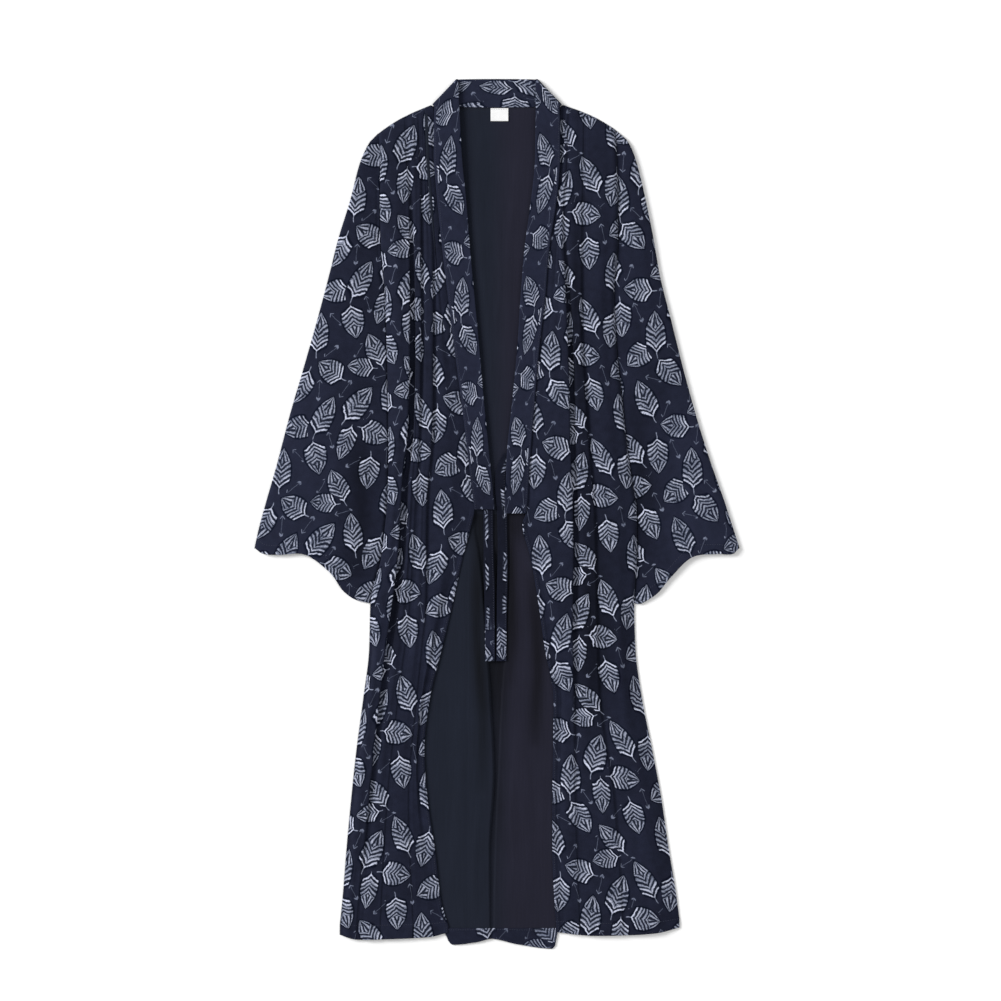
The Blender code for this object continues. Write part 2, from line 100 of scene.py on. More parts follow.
# How far the shoulder line rounds above a straight line, and flares up at the collar over this
# share of its length.
SHOULDER_RISE = 6.0
SHOULDER_FLARE = 4.5
SHOULDER_FLARE_SHARE = 0.06

Hem = namedtuple("Hem", "x y")
LEFT_HEM = [Hem(-236, -631), Hem(-207, -638), Hem(-164, -637), Hem(-101, -634), Hem(-73, -627)]
RIGHT_HEM = [Hem(89, -627), Hem(147, -632), Hem(200, -631), Hem(240, -628), Hem(274, -620)]
BACK_HEM = table_of(
    Hem,
    (-236, -625),
    (-200, -629),
    (-78, -629),
    (-73, -640),
    (-67, -646),
    (-31, -642),
    (-8, -637),
    (30, -645),
    (83, -652),
    (87, -648),
    (92, -624),
    (200, -624),
    (274, -613),
)
TURNUP_TOP = table_of(
    Hem,
    (-236, -606),
    (-110, -609),
    (-73, -621),
    (87, -621),
    (120, -606),
    (274, -594),
)

# Sleeves: outer fold and inner edge from the shoulder point down to the cuff.
Sleeve = namedtuple("Sleeve", "outer_x outer_y inner_y")
LEFT_SLEEVE = table_of(
    Sleeve,
    (-179.5, 571.2, 571.8),
    (-186, 566, 569),
    (-196, 550, 555),
    (-206, 526, 532),
    (-220, 472, 472),
    (-238.5, 412, 410),
    (-250, 366, 350),
    (-268.5, 296, 275),
    (-290, 220, 196),
    (-310.5, 150, 115),
    (-331, 72, 36),
    (-346, 20, -40),
    (-357, -20, -95),
    (-364, -51, -133.5),
)
RIGHT_SLEEVE = table_of(
    Sleeve,
    (180, 575.6, 576.5),
    (190, 568, 573),
    (200, 553, 558),
    (210, 526, 532),
    (223, 472, 472),
    (235, 412, 410),
    (244, 360, 350),
    (262, 288, 275),
    (280, 216, 196),
    (304, 130, 115),
    (322, 74, 36),
    (341, 20, -40),
    (354, -20, -95),
    (364, -51, -133.5),
)
# The cuff's line: across from the outer fold, and how far it lies above the straight line there.
Cuff = namedtuple("Cuff", "across rise")
LEFT_CUFF = table_of(
    Cuff,
    (0.00, 0),
    (0.06, -2),
    (0.20, 7),
    (0.46, 27),
    (0.66, 17),
    (0.77, -1),
    (0.86, -5),
    (1.00, 0),
)
RIGHT_CUFF = table_of(
    Cuff,
    (0.00, 0),
    (0.05, -3),
    (0.21, 9),
    (0.46, 24),
    (0.66, 10),
    (0.80, -4),
    (0.93, -6),
    (1.00, 0),
)
# The cuff's line is felt this far up the sleeve.
CUFF_REACH = 300.0

# The collar band's free edges, from its blunt ends up to the neck.
Collar = namedtuple("Collar", "y left_inner right_inner")
COLLAR = table_of(
    Collar,
    (6, -3.5, 11.5),
    (52, -7.5, 13),
    (97, -12, 15),
    (172, -19.5, 23),
    (247, -26, 30),
    (322, -33, 35),
    (397, -40, 41),
    (472, -46, 51),
    (532, -52, 57),
    (600, -58, 58.5),
)
LEFT_BAND_END = 7.5
RIGHT_BAND_END = 1.5
# Where the band folds over at the side of the neck: outer and inner ends of the fold line.
LEFT_TURN = ((-97.5, 615.5), (-61.5, 652.5))
RIGHT_TURN = ((97.5, 615.5), (61.5, 652.5))
# Middle heights of the band: along its arms, beside the neck and behind it, and where it rises
# from the first to the second.
BAND_ARM = 5.2
BAND_NECK = 7.2
BAND_BACK = 1.2
BAND_RISE_START = 440.0
BAND_RISE_LENGTH = 90.0
TURN_RADIUS = (BAND_NECK - BAND_BACK) / 2
# y of the back neck seam and of the band's top, and how much each rises toward the middle or the
# sides.
NECK_SEAM = 610.5
NECK_SEAM_RISE = 2.0
NECK_TOP = 653.2
NECK_TOP_RISE = 0.6

Tie = namedtuple("Tie", "y left_x right_x")
TIES = table_of(
    Tie,
    (92, None, 17),
    (75, None, 9),
    (58, None, 5),
    (37, None, 5),
    (22, -16, 6),
    (5, -13.5, 7.5),
    (-68, -12.5, 8.5),
    (-128, -11, 7.5),
    (-220, -10.5, 6.5),
)
TIE_WIDTH = 15.5

LABEL_LEFT = -9.5
LABEL_RIGHT = 17.0
LABEL_LOWER = 590.5
LABEL_UPPER = 610.0

# -------- Folds and heights of the cloth --------

# A knife fold: the cloth to the left ends in a lip at x, runs back under itself by the overlap,
# and comes out on the floor of a trough. Without overlap it is a soft valley.
Fold = namedtuple("Fold", "y x overlap trough lip floor")
LEFT_FOLDS = (
    table_of(
        Fold,
        (-640, -212, 0.0, 12, 5.2, 3.8),
        (-533, -203, 0.0, 11, 6.0, 3.8),
        (-488, -198, 2.0, 10, 7.0, 3.6),
        (-409, -190, 4.0, 9, 8.2, 3.2),
        (-323, -181, 6.0, 10, 9.0, 3.0),
        (-248, -172.5, 7.0, 12, 9.6, 2.8),
        (-188, -165.3, 8.0, 13, 10.0, 2.6),
        (-128, -156.7, 8.0, 14, 10.4, 2.4),
        (-64, -149, 9.0, 15, 10.6, 2.3),
        (-8, -145.3, 10.0, 13, 10.8, 2.2),
        (52, -142, 10.0, 12, 10.8, 2.2),
        (107, -135.2, 10.0, 12, 11.0, 2.4),
        (172, -132.4, 10.0, 12, 11.0, 2.8),
        (277, -130.5, 9.0, 11, 10.6, 2.9),
        (375, -131, 6.0, 9, 9.0, 2.8),
        (471, -132, 1.5, 7, 7.0, 3.6),
        (540, -136, 0.0, 6, 5.6, 4.2),
    ),
    table_of(
        Fold,
        (-640, -176, 0.0, 10, 5.6, 5.0),
        (-428, -164, 0.0, 10, 6.4, 5.4),
        (-278, -148, 0.0, 9, 7.0, 5.8),
        (-133, -130, 0.0, 8, 7.4, 6.0),
        (-9, -123, 0.0, 8, 7.6, 5.6),
        (107, -117, 2.0, 6, 7.8, 4.8),
        (200, -115, 4.0, 6, 8.2, 4.2),
        (277, -114, 6.0, 6, 8.4, 4.0),
        (390, -114, 4.0, 6, 8.0, 4.2),
        (500, -114, 1.0, 6, 6.4, 4.6),
        (540, -116, 0.0, 6, 5.6, 4.8),
    ),
    table_of(
        Fold,
        (-640, -124, 0.0, 10, 5.4, 4.8),
        (-428, -132, 0.0, 10, 6.0, 5.2),
        (-278, -120, 0.0, 8, 6.0, 5.2),
        (-200, -112, 0.0, 7, 6.4, 5.2),
        (-128, -107, 3.0, 6, 7.4, 4.4),
        (-30, -106, 4.0, 6, 7.8, 4.2),
        (22, -105, 4.0, 6, 8.0, 4.2),
        (97, -99, 5.0, 6, 8.2, 4.0),
        (171, -96, 6.0, 6, 8.4, 3.8),
        (300, -96, 6.0, 6, 8.2, 3.8),
        (390, -96.5, 3.0, 5, 7.2, 4.4),
        (442, -99, 0.0, 5, 6.2, 5.0),
        (540, -106, 0.0, 5, 5.6, 5.0),
    ),
)
RIGHT_FOLDS = (
    table_of(
        Fold,
        (-640, 126, 0.0, 10, 5.0, 4.2),
        (-428, 118, 0.0, 10, 6.2, 4.2),
        (-300, 115.5, 1.0, 9, 7.4, 3.8),
        (-248, 114.5, 4.0, 9, 8.4, 3.2),
        (-158, 113.6, 7.0, 9, 9.4, 2.8),
        (-68, 114.5, 8.0, 10, 10.0, 2.6),
        (22, 113, 9.0, 10, 10.4, 2.4),
        (97, 110, 9.0, 10, 10.6, 2.4),
        (172, 109, 9.0, 10, 10.4, 2.4),
        (277, 105.5, 8.0, 9, 10.0, 2.5),
        (352, 102, 6.0, 8, 9.0, 2.8),
        (434, 99, 1.0, 6, 7.2, 4.6),
        (540, 106, 0.0, 5, 6.4, 5.6),
    ),
    table_of(
        Fold,
        (-640, 192, 0.0, 10, 6.0, 4.8),
        (-428, 176, 0.0, 10, 8.0, 5.6),
        (-263, 153, 0.0, 8, 9.0, 6.0),
        (-133, 149, 1.0, 8, 9.4, 6.0),
        (-9, 146, 2.0, 7, 9.6, 5.6),
        (107, 137, 3.0, 7, 9.6, 5.2),
        (200, 131, 3.0, 7, 9.4, 5.0),
        (277, 126, 2.0, 7, 9.0, 5.0),
        (442, 128, 0.0, 6, 6.8, 5.0),
        (540, 130, 0.0, 6, 5.8, 4.8),
    ),
)
# Heights of each front from left to right: its edges, and the cloth between edges and folds.
LeftHeights = namedtuple("LeftHeights", "y start round_1 round_2 round_3 round_4 end")
LEFT_HEIGHTS = table_of(
    LeftHeights,
    (-640, 1.5, 6.0, 6.0, 5.6, 4.6, 2.6),
    (-428, 1.5, 8.5, 7.0, 6.4, 5.6, 3.0),
    (-133, 1.6, 10.8, 9.0, 8.2, 7.0, 3.4),
    (-20, 2.0, 11.4, 9.2, 8.4, 7.2, 4.2),
    (107, 2.2, 11.6, 8.6, 8.0, 7.0, 5.0),
    (350, 2.2, 11.0, 8.2, 7.6, 6.4, 5.0),
    (540, 2.2, 7.0, 6.6, 6.2, 5.6, 5.0),
)
RightHeights = namedtuple("RightHeights", "y start round_1 round_2 round_3 end")
RIGHT_HEIGHTS = table_of(
    RightHeights,
    (-640, 2.6, 4.8, 5.8, 6.2, 1.5),
    (-428, 3.0, 6.2, 7.4, 8.6, 1.5),
    (-133, 3.4, 8.4, 9.4, 10.8, 1.6),
    (-20, 4.2, 8.8, 9.4, 11.2, 2.0),
    (107, 5.0, 8.6, 9.2, 11.4, 2.2),
    (350, 5.0, 7.4, 8.2, 10.4, 2.2),
    (540, 5.0, 5.8, 6.4, 7.0, 2.2),
)
# An overlap of this length or more gives a fold its full doubled-back shape.
FULL_FOLD = 6.0

# Soft creases: both ends, half width, and height, which is negative for a trough.
Crease = namedtuple("Crease", "x_1 y_1 x_2 y_2 width height")
FRONT_CREASES = table_of(
    Crease,
    (-206, -600, -186, -420, 11, 1.2),
    (-150, -625, -142, -380, 13, 1.5),
    (-108, -600, -118, -390, 8, -1.1),
    (-92, -600, -102, -440, 7, 1.0),
    (-172, -420, -160, -300, 9, -1.0),
    (-130, -340, -118, -180, 10, 1.2),
    (-66, -10, -104, -190, 11, 1.5),
    (-60, 70, -90, -60, 9, 1.1),
    (-84, 250, -70, 110, 8, 0.9),
    (-146, 480, -150, 360, 8, 1.0),
    (-152, 180, -156, 20, 8, -1.0),
    (-102, 590, -160, 548, 9, -0.9),
    (250, -600, 226, -400, 12, 1.3),
    (214, -560, 200, -380, 8, -1.1),
    (164, -615, 156, -360, 12, 1.4),
    (112, -600, 104, -400, 8, 1.1),
    (190, -330, 178, -190, 9, 1.0),
    (96, -330, 98, -200, 8, -0.9),
    (66, -40, 96, -190, 10, 1.4),
    (70, 90, 92, -30, 9, 1.0),
    (82, 330, 84, 180, 8, 0.9),
    (158, 300, 166, 120, 9, -1.0),
    (152, 500, 150, 380, 8, 1.0),
    (104, 592, 158, 552, 9, -0.9),
)
SLEEVE_CREASES = table_of(
    Crease,
    (-196, 470, -262, 210, 13, 1.2),
    (-188, 300, -250, 20, 15, 1.5),
    (-182, 150, -214, -90, 11, 1.2),
    (-232, 330, -300, 60, 12, -1.0),
    (-250, 90, -282, -50, 11, -1.1),
    (-300, 150, -336, -20, 10, 1.1),
    (-192, 60, -204, -110, 8, -0.9),
    (194, 480, 246, 250, 12, 1.1),
    (192, 320, 244, 40, 15, 1.4),
    (214, 160, 240, -80, 12, 1.3),
    (226, 340, 280, 90, 12, -1.0),
    (262, 100, 292, -50, 11, -1.2),
    (296, 150, 332, -10, 10, 1.1),
    (220, 40, 226, -110, 8, -0.8),
)
BACK_CREASES = table_of(
    Crease,
    (-64, -560, -52, -280, 8, 0.9),
    (-34, -600, -30, -430, 5, 0.7),
    (48, -610, 42, -280, 9, 0.8),
    (24, -560, 28, -320, 5, 0.6),
    (70, -540, 66, -380, 6, 0.6),
    (-26, 570, -14, 170, 9, 0.7),
    (28, 540, 14, 200, 8, 0.7),
    (2, 470, 2, 260, 5, 0.5),
)

# Painted shade where folds, seams and edges would shade the cloth, as soft bands: both ends, half width,
# and share of the full painted shade.
FRONT_PAINTED_SHADE = table_of(
    Crease,
    (-122, 420, -131, 110, 10, 0.4),
    (-138, 20, -163, -240, 9, 0.9),
    (120, 480, 124, 20, 15, 0.9),
    (138, 70, 142, -350, 30, 1.0),
)
# Painted shade on the sleeves beside the armholes.
SLEEVE_PAINTED_SHADE = table_of(
    Crease,
    (-205, 130, -208, -100, 17, 0.9),
    (212, 190, 214, -100, 17, 0.8),
)
# Painted shade on the back between its ridges and beside the right front's edge.
BACK_PAINTED_SHADE = table_of(
    Crease,
    (-10, 40, -8, -300, 22, 0.5),
    (-27, -10, -25, -420, 9, 0.8),
    (23, -10, 22, -260, 10, 0.6),
    (57, -80, 60, -350, 11, 1.0),
)

# The back's soft folds: the foot lines of its left and right ridges, and how high these are.
BackFolds = namedtuple("BackFolds", "y left_line left_height right_line right_height")
BACK_FOLDS = table_of(
    BackFolds,
    (-640, -9, 2.2, -6, 2.0),
    (-503, -10, 3.0, -4, 2.8),
    (-391, -4, 3.6, 1, 3.2),
    (-278, -9, 4.0, 6, 3.0),
    (-188, -15, 3.6, 13, 2.2),
    (-68, -25, 2.4, 18, 1.2),
    (0, -36, 1.0, 20, 0.3),
    (30, -38, 0.0, 20, 0.0),
    (620, -38, 0.0, 20, 0.0),
)
# Width of a ridge's steep side, and how far its easy side reaches.
RIDGE_RISE = 2.6
RIDGE_REACH = 78.0
# The ridges' foot lines wander between these x.
RIDGE_FEET = (-44.0, 26.0)

# -------- Print: a small repeat, charted ----------------

# The size of the repeat, and its motifs: centre, turn in degrees from upright, half width and half
# length.
Motif = namedtuple("Motif", "x y turn half_width half_length")
REPEAT = (169.0, 211.5)
LEAVES = table_of(
    Motif,
    (19, 28, 8, 15, 30.5),
    (25.5, 93, 118, 17, 22.1),
    (15, 152.5, 168, 15.5, 27.3),
    (65, 56.5, 206, 16.5, 25.4),
    (60, 121.5, -12, 15, 31.5),
    (51, 189, 70, 17.5, 22.1),
    (107, 25.5, 38, 15, 26.3),
    (101.5, 90, 174, 13.1, 27.3),
    (104.5, 152.5, -24, 16, 32),
    (146.5, 56.5, 188, 15.5, 25.4),
    (141, 115.5, -98, 17.5, 22.6),
    (147.5, 175, 22, 14.5, 30.1),
    (93, 206, 100, 14.1, 20.2),
)
ARROWS = table_of(
    Motif,
    (80, 169, 160, 5.6, 16),
    (42.5, 155, 10, 5.6, 16),
    (84.5, 17, -15, 5.6, 13.6),
    (121.5, 65, -48, 5.6, 15),
    (39.5, 53.5, 62, 5.6, 12.6),
    (127, 201, 120, 5.6, 13.6),
    (166.5, 84.5, 12, 5.6, 16),
    (79, 87.5, 30, 5.6, 12.6),
    (167.5, 130.5, -50, 5.6, 13.6),
    (45, 5.5, 145, 5.6, 14.1),
    (124, 138, 160, 5.6, 10.7),
)
# Each kind's mark, and the oval about it, in half sizes, that a motif may fill.
LEAF_MARK = 1.0
LEAF_OVAL = (1.15, -0.12, 1.22)
ARROW_MARK = 2.0
ARROW_OVAL = (1.3, 0.0, 1.12)
# A leaf, as shares of its half length: its widest place, where its filled tip starts, the slant of
# its bands, and how many bands there are in that length.
LEAF_WIDEST = -0.30
LEAF_TIP = 0.17
LEAF_SLANT = 0.62
LEAF_BANDS = 4.2
# Where the ink is thin, the blue shows through it: share of its colour there.
THIN_INK = (0.80, 0.88, 1.02)

# -------- Sizes and colours that a user may change --------


def number(name, default, description, **settings):
    """A property that is a number, with the limits or the unit that the settings give."""
    return bpy.props.FloatProperty(name=name, description=description, default=default, **settings)


def length(name, default, description):
    """A property that is a length in metres."""
    return number(name, default, description, unit="LENGTH", subtype="DISTANCE", precision=5)


def power(name, default, description):
    """A property that is the power of a lamp in watts."""
    return number(name, default, description, unit="POWER", subtype="POWER")


def colour(name, default, description):
    """A property that is a colour, in linear values."""
    return bpy.props.FloatVectorProperty(
        name=name, description=description, default=default, size=3, min=0, max=1, subtype="COLOR"
    )


class RobeCloth(bpy.types.PropertyGroup):
    wall: length("Cloth wall", 0.0009, "Thickness of one layer of cloth, loft included")
    band_wall: length("Band wall", 0.0020, "Thickness of the doubled collar band")
    tie_wall: length("Tie wall", 0.0014, "Thickness of a folded tie")
    label_wall: length("Label wall", 0.0006, "Thickness of the neck label")
    row_step: length("Row step", 0.008, "Distance between rows of points along the robe")
    hem_depth: length("Hem depth", 0.020, "Depth of the hem allowance of the fronts")
    cuff_depth: length("Cuff depth", 0.018, "Depth of the hem allowance of the sleeves")
    fold_samples: bpy.props.IntProperty(
        name="Fold samples", description="Points between guides of a fold", default=4, min=2, max=8
    )
    crease_depth: number("Crease depth", 1.0, "Share of the full depth of the soft creases", min=0, max=2)


class RobeThread(bpy.types.PropertyGroup):
    stitch: length("Stitch", 0.0024, "Length of one stitch that shows")
    pitch: length("Stitch pitch", 0.0036, "Distance from one stitch to the next")
    width: length("Thread width", 0.0005, "Width of the thread")


class RobeColours(bpy.types.PropertyGroup):
    ground: colour("Ground", (0.0102, 0.0121, 0.0244), "Dyed ground of the print")
    deep: colour("Deep dye", (0.0012, 0.0025, 0.0090), "Ground inside and close round the leaves")
    ink: colour("Print", (0.530, 0.560, 0.690), "Off-white of the printed leaves")
    reverse: colour("Reverse", (0.0082, 0.0108, 0.0196), "Plain reverse side of the cloth")
    thread: colour("Thread", (0.030, 0.034, 0.060), "Sewing thread")
    label: colour("Label", (0.80, 0.80, 0.80), "Woven label")
    floor: colour("Floor", (0.90, 0.90, 0.90), "Plain floor under the robe")


class RobeStage(bpy.types.PropertyGroup):
    camera_x: length("Camera x", 0.00525, "Middle of the picture, across the robe")
    camera_y: length("Camera y", 0.0210, "Middle of the picture, along the robe")
    camera_height: length("Camera height", 4.176, "Height of the camera over the ground")
    lens: number("Lens", 100, "Focal length of the camera", unit="CAMERA", subtype="DISTANCE_CAMERA")
    world_light: number("Sky light", 0.47, "Strength of the even light from all round", min=0)
    key_power: power("Key light", 530, "Power of the large soft lamp")
    fill_power: power("Fill light", 32, "Power of the weak lamp opposite")


def cloth_sizes():
    return bpy.context.scene.robe_cloth


def colours():
    return bpy.context.scene.robe_colours


def in_mm(metres):
    return metres / MM


# -------- Curves --------


def smooth_curve(knots, values, wanted):
    """Cubic through the knots whose slope is 0 where the values turn, so it never overshoots."""
    knots = np.asarray(knots, float)
    values = np.asarray(values, float)
    wanted = np.asarray(wanted, float)
    steps = np.diff(knots)
    slopes = np.diff(values) / steps
    product = slopes[:-1] * slopes[1:]
    total = np.where(product > 0, slopes[:-1] + slopes[1:], 1.0)
    inner = np.where(product > 0, 2 * product / total, 0.0)
    tangents = np.concatenate([slopes[:1], inner, slopes[-1:]])
    span = np.clip(np.searchsorted(knots, wanted) - 1, 0, len(steps) - 1)
    t = np.clip((wanted - knots[span]) / steps[span], 0, 1)
    start = (1 + 2 * t) * (1 - t) ** 2 * values[span]
    start_slope = t * (1 - t) ** 2 * steps[span] * tangents[span]
    end = t * t * (3 - 2 * t) * values[span + 1]
    end_slope = t * t * (t - 1) * steps[span] * tangents[span + 1]
    return start + start_slope + end + end_slope


def column(table, name, wanted, along="y"):
    """The named column of a table as a smooth curve of another of its columns."""
    rows = sorted(table, key=lambda row: getattr(row, along))
    knots = [getattr(row, along) for row in rows]
    return smooth_curve(knots, [getattr(row, name) for row in rows], wanted)


def ease(t):
    """0 to 1 with level ends."""
    t = np.clip(t, 0, 1)
    return t * t * (3 - 2 * t)


def mix(a, b, t):
    return a + (b - a) * t


def through(guides, samples):
    """Points on a smooth curve through each row of guides.

    Guides are rows by guides by dimensions. Each row is a centripetal Catmull-Rom curve: between
    two guides it blends three straight lines, then two parabolas, by a parameter that grows with
    the square root of the distance between guides. It has no loops where guides crowd together.
    """
    first = 2 * guides[:, :1] - guides[:, 1:2]
    last = 2 * guides[:, -1:] - guides[:, -2:-1]
    all_guides = np.concatenate([first, guides, last], axis=1)
    gaps = np.sqrt(np.linalg.norm(np.diff(all_guides, axis=1), axis=2)) + 1e-6
    knots = np.concatenate([np.zeros_like(gaps[:, :1]), np.cumsum(gaps, axis=1)], axis=1)
    spans = guides.shape[1] - 1
    p = [all_guides[:, i : i + spans, None, :] for i in range(4)]
    k = [knots[:, i : i + spans, None, None] for i in range(4)]
    t = mix(k[1], k[2], (np.arange(samples) / samples)[None, None, :, None])

    def between(a, b, k_a, k_b):
        return ((k_b - t) * a + (t - k_a) * b) / (k_b - k_a)

    a = [between(p[i], p[i + 1], k[i], k[i + 1]) for i in range(3)]
    b = [between(a[i], a[i + 1], k[i], k[i + 2]) for i in range(2)]
    curve = between(b[0], b[1], k[1], k[2])
    rows, _, _, size = curve.shape
    return np.concatenate([curve.reshape(rows, -1, size), guides[:, -1:]], axis=1)


def run_length(points):
    """Distance along each row of points, from its first one."""
    steps = np.linalg.norm(np.diff(points, axis=1), axis=2)
    return np.concatenate([np.zeros((len(points), 1)), np.cumsum(steps, axis=1)], axis=1)


def evenly(low, high, step):
    """Numbers from low to high, about a step apart."""
    return np.linspace(low, high, int(math.ceil((high - low) / step)) + 1)


def refined(knots, step):
    """The knots, with more between them so that none are more than a step apart."""
    parts = [evenly(low, high, step)[:-1] for low, high in zip(knots, knots[1:])]
    return np.append(np.concatenate(parts), knots[-1])


def body_edge(name, y):
    """x of an edge of the body: smooth up to the last row of BODY, straight from there up."""
    ends = {
        "left_side": LEFT_SHOULDER[0],
        "left_free": LEFT_SHOULDER[1],
        "right_side": RIGHT_SHOULDER[0],
        "right_free": RIGHT_SHOULDER[1],
    }
    end_x, end_y = ends[name]
    top = BODY[-1].y
    above = np.clip((y - top) / (end_y - top), 0, 1)
    return mix(column(BODY, name, np.minimum(y, top)), end_x, above)


# How far a soft band's line bends to one side, as a share of its length.
BAND_BEND = 0.012


def soft_bands(table, x, y):
    """Sum of a table's soft bands at each point.

    A band is a Gaussian of the distance from its line, and fades to nothing at both its ends as
    the square root of a sine of the way along it. The line itself bends as a sine of that way.
    """
    total = np.zeros(np.broadcast(x, y).shape)
    for crease in table:
        run = np.array([crease.x_2 - crease.x_1, crease.y_2 - crease.y_1], float)
        size = np.linalg.norm(run)
        off_x = x - crease.x_1
        off_y = y - crease.y_1
        along = np.clip((off_x * run[0] + off_y * run[1]) / size**2, 0, 1)
        away = (off_x * run[1] - off_y * run[0]) / size
        away = away + BAND_BEND * size * np.sin(2 * math.pi * along + crease.width)
        total += crease.height * np.exp(-((away / crease.width) ** 2)) * np.sqrt(np.sin(math.pi * along))
    return total


def crease_height(table, x, y):
    """Sum of the soft creases at each point, in millimetres."""
    return soft_bands(table, x, y) * cloth_sizes().crease_depth


def waver(x, y):
    """Unevenness of washed cotton: two products of sines whose phases drift along the robe."""
    wide = 0.30 * np.sin(x / 27 + 1.7 * np.sin(y / 140)) * np.sin(y / 83 + x / 61)
    narrow = 0.13 * np.sin(x / 9.5 + 2.1 * np.sin(y / 66)) * np.sin(y / 37 + x / 23)
    return wide + narrow


# Small waves beside a seam: height, length, and distance that they fade over.
PUCKER_HEIGHT = 0.20
PUCKER_LENGTH = 13
PUCKER_REACH = 8


def pucker(distance, along):
    """Small waves beside a seam: a sine along it whose phase drifts, fading with the distance."""
    phase = 2 * math.pi * along / PUCKER_LENGTH + 1.5 * np.sin(along / 37)
    return PUCKER_HEIGHT * np.sin(phase) * np.exp(-((distance / PUCKER_REACH) ** 2))


# -------- Meshes --------


def grid_mesh(name, points, flat, rub=None, bare=None, painted_shade=None, closed_round=False, capped=False):
    """A mesh from a grid of points in millimetres.

    points: rows by columns by xyz. flat: the place of each point on the uncut cloth, with one more
    column than points if the grid closes round. Shares of each point, from 0 to 1 and 0 if they
    are left out: rub is how worn it is, bare how much of its print is missing, painted_shade how much
    painted shade darkens it. Capped, the first and last rows are filled with one face each.
    """
    rows, columns = points.shape[:2]
    index = np.arange(rows * columns).reshape(rows, columns)
    if closed_round:
        index = np.concatenate([index, index[:, :1]], axis=1)
    corners = [(slice(None, -1), slice(None, -1)), (slice(None, -1), slice(1, None))]
    corners += [(slice(1, None), slice(1, None)), (slice(1, None), slice(None, -1))]
    faces = np.stack([index[corner].ravel() for corner in corners], axis=1).tolist()
    places = [np.stack([flat[corner].reshape(-1, 2) for corner in corners], axis=1).reshape(-1, 2)]
    if capped:
        faces += [index[0, :columns][::-1].tolist(), index[-1, :columns].tolist()]
        places += [flat[0, :columns][::-1], flat[-1, :columns]]
    mesh = bpy.data.meshes.new(name)
    mesh.from_pydata((points.reshape(-1, 3) * MM).tolist(), [], faces)
    places = (np.concatenate(places) * MM).astype(np.float32)
    mesh.uv_layers.new(name=FLAT_MAP)
    mesh.uv_layers[FLAT_MAP].uv.foreach_set("vector", places.ravel())
    for share_name, shares in (("Rub", rub), ("Bare", bare), ("Kept", painted_shade)):
        shares = np.zeros(points.shape[:2]) if shares is None else shares
        attribute = mesh.attributes.new(share_name, "FLOAT", "POINT")
        attribute.data.foreach_set("value", shares.astype(np.float32).ravel())
    mesh.update()
    mesh.shade_smooth()
    return mesh


def add_piece(name, mesh, materials):
    """A shown piece of the robe: linked, given its materials, and riding on the robe's one body."""
    for material in materials:
        mesh.materials.append(material)
    piece = bpy.data.objects.new(name, mesh)
    bpy.context.scene.collection.objects.link(piece)
    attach(piece, BODY_NAME)
    return piece


# A wall is held to this many times the length of the edges beside it.
WALL_CLAMP = 1.6


def add_wall(piece, wall):
    """Thickens a sheet, half its wall to each side. Its underside shows the second material."""
    thicken = piece.modifiers.new("Wall", "SOLIDIFY")
    thicken.thickness = wall
    thicken.offset = 0
    thicken.thickness_clamp = WALL_CLAMP
    thicken.material_offset = 1


def unit(vectors):
    """The vectors at length 1, along their last axis."""
    return vectors / np.maximum(np.linalg.norm(vectors, axis=-1, keepdims=True), 1e-9)


def normals_of(points):
    """Unit normals of a grid of points: the cross product of its steps along columns and rows."""
    across = np.gradient(points, axis=1)
    along = np.gradient(points, axis=0)
    return unit(np.cross(across, along))


STITCH_SIDES = 5
# Along a stitch: share of its half length, and share of its full thickness there.
STITCH_RINGS = ((-0.6, 0.8), (0.0, 1.0), (0.6, 0.8))
STITCH_POINTS = STITCH_SIDES * len(STITCH_RINGS) + 2
# A stitch is pressed flat to this share of its width, and arches up by this share of it.
STITCH_FLATNESS = 0.7
STITCH_ARCH = 0.6
# Half the length of path that gives a stitch its direction.
STITCH_AHEAD = 0.5
# How far the seams' paths lie over the cloth.
THREAD_LIFT = 0.05


def stitch_faces():
    """Faces of one stitch, whose points are one end, the rings in turn, and the other end."""
    faces = []
    for corner in range(STITCH_SIDES):
        after = (corner + 1) % STITCH_SIDES
        faces.append([0, 1 + after, 1 + corner])
        for low in range(1, STITCH_POINTS - 1 - STITCH_SIDES, STITCH_SIDES):
            high = low + STITCH_SIDES
            faces.append([low + corner, low + after, high + after, high + corner])
        faces.append([high + corner, high + after, STITCH_POINTS - 1])
    return faces


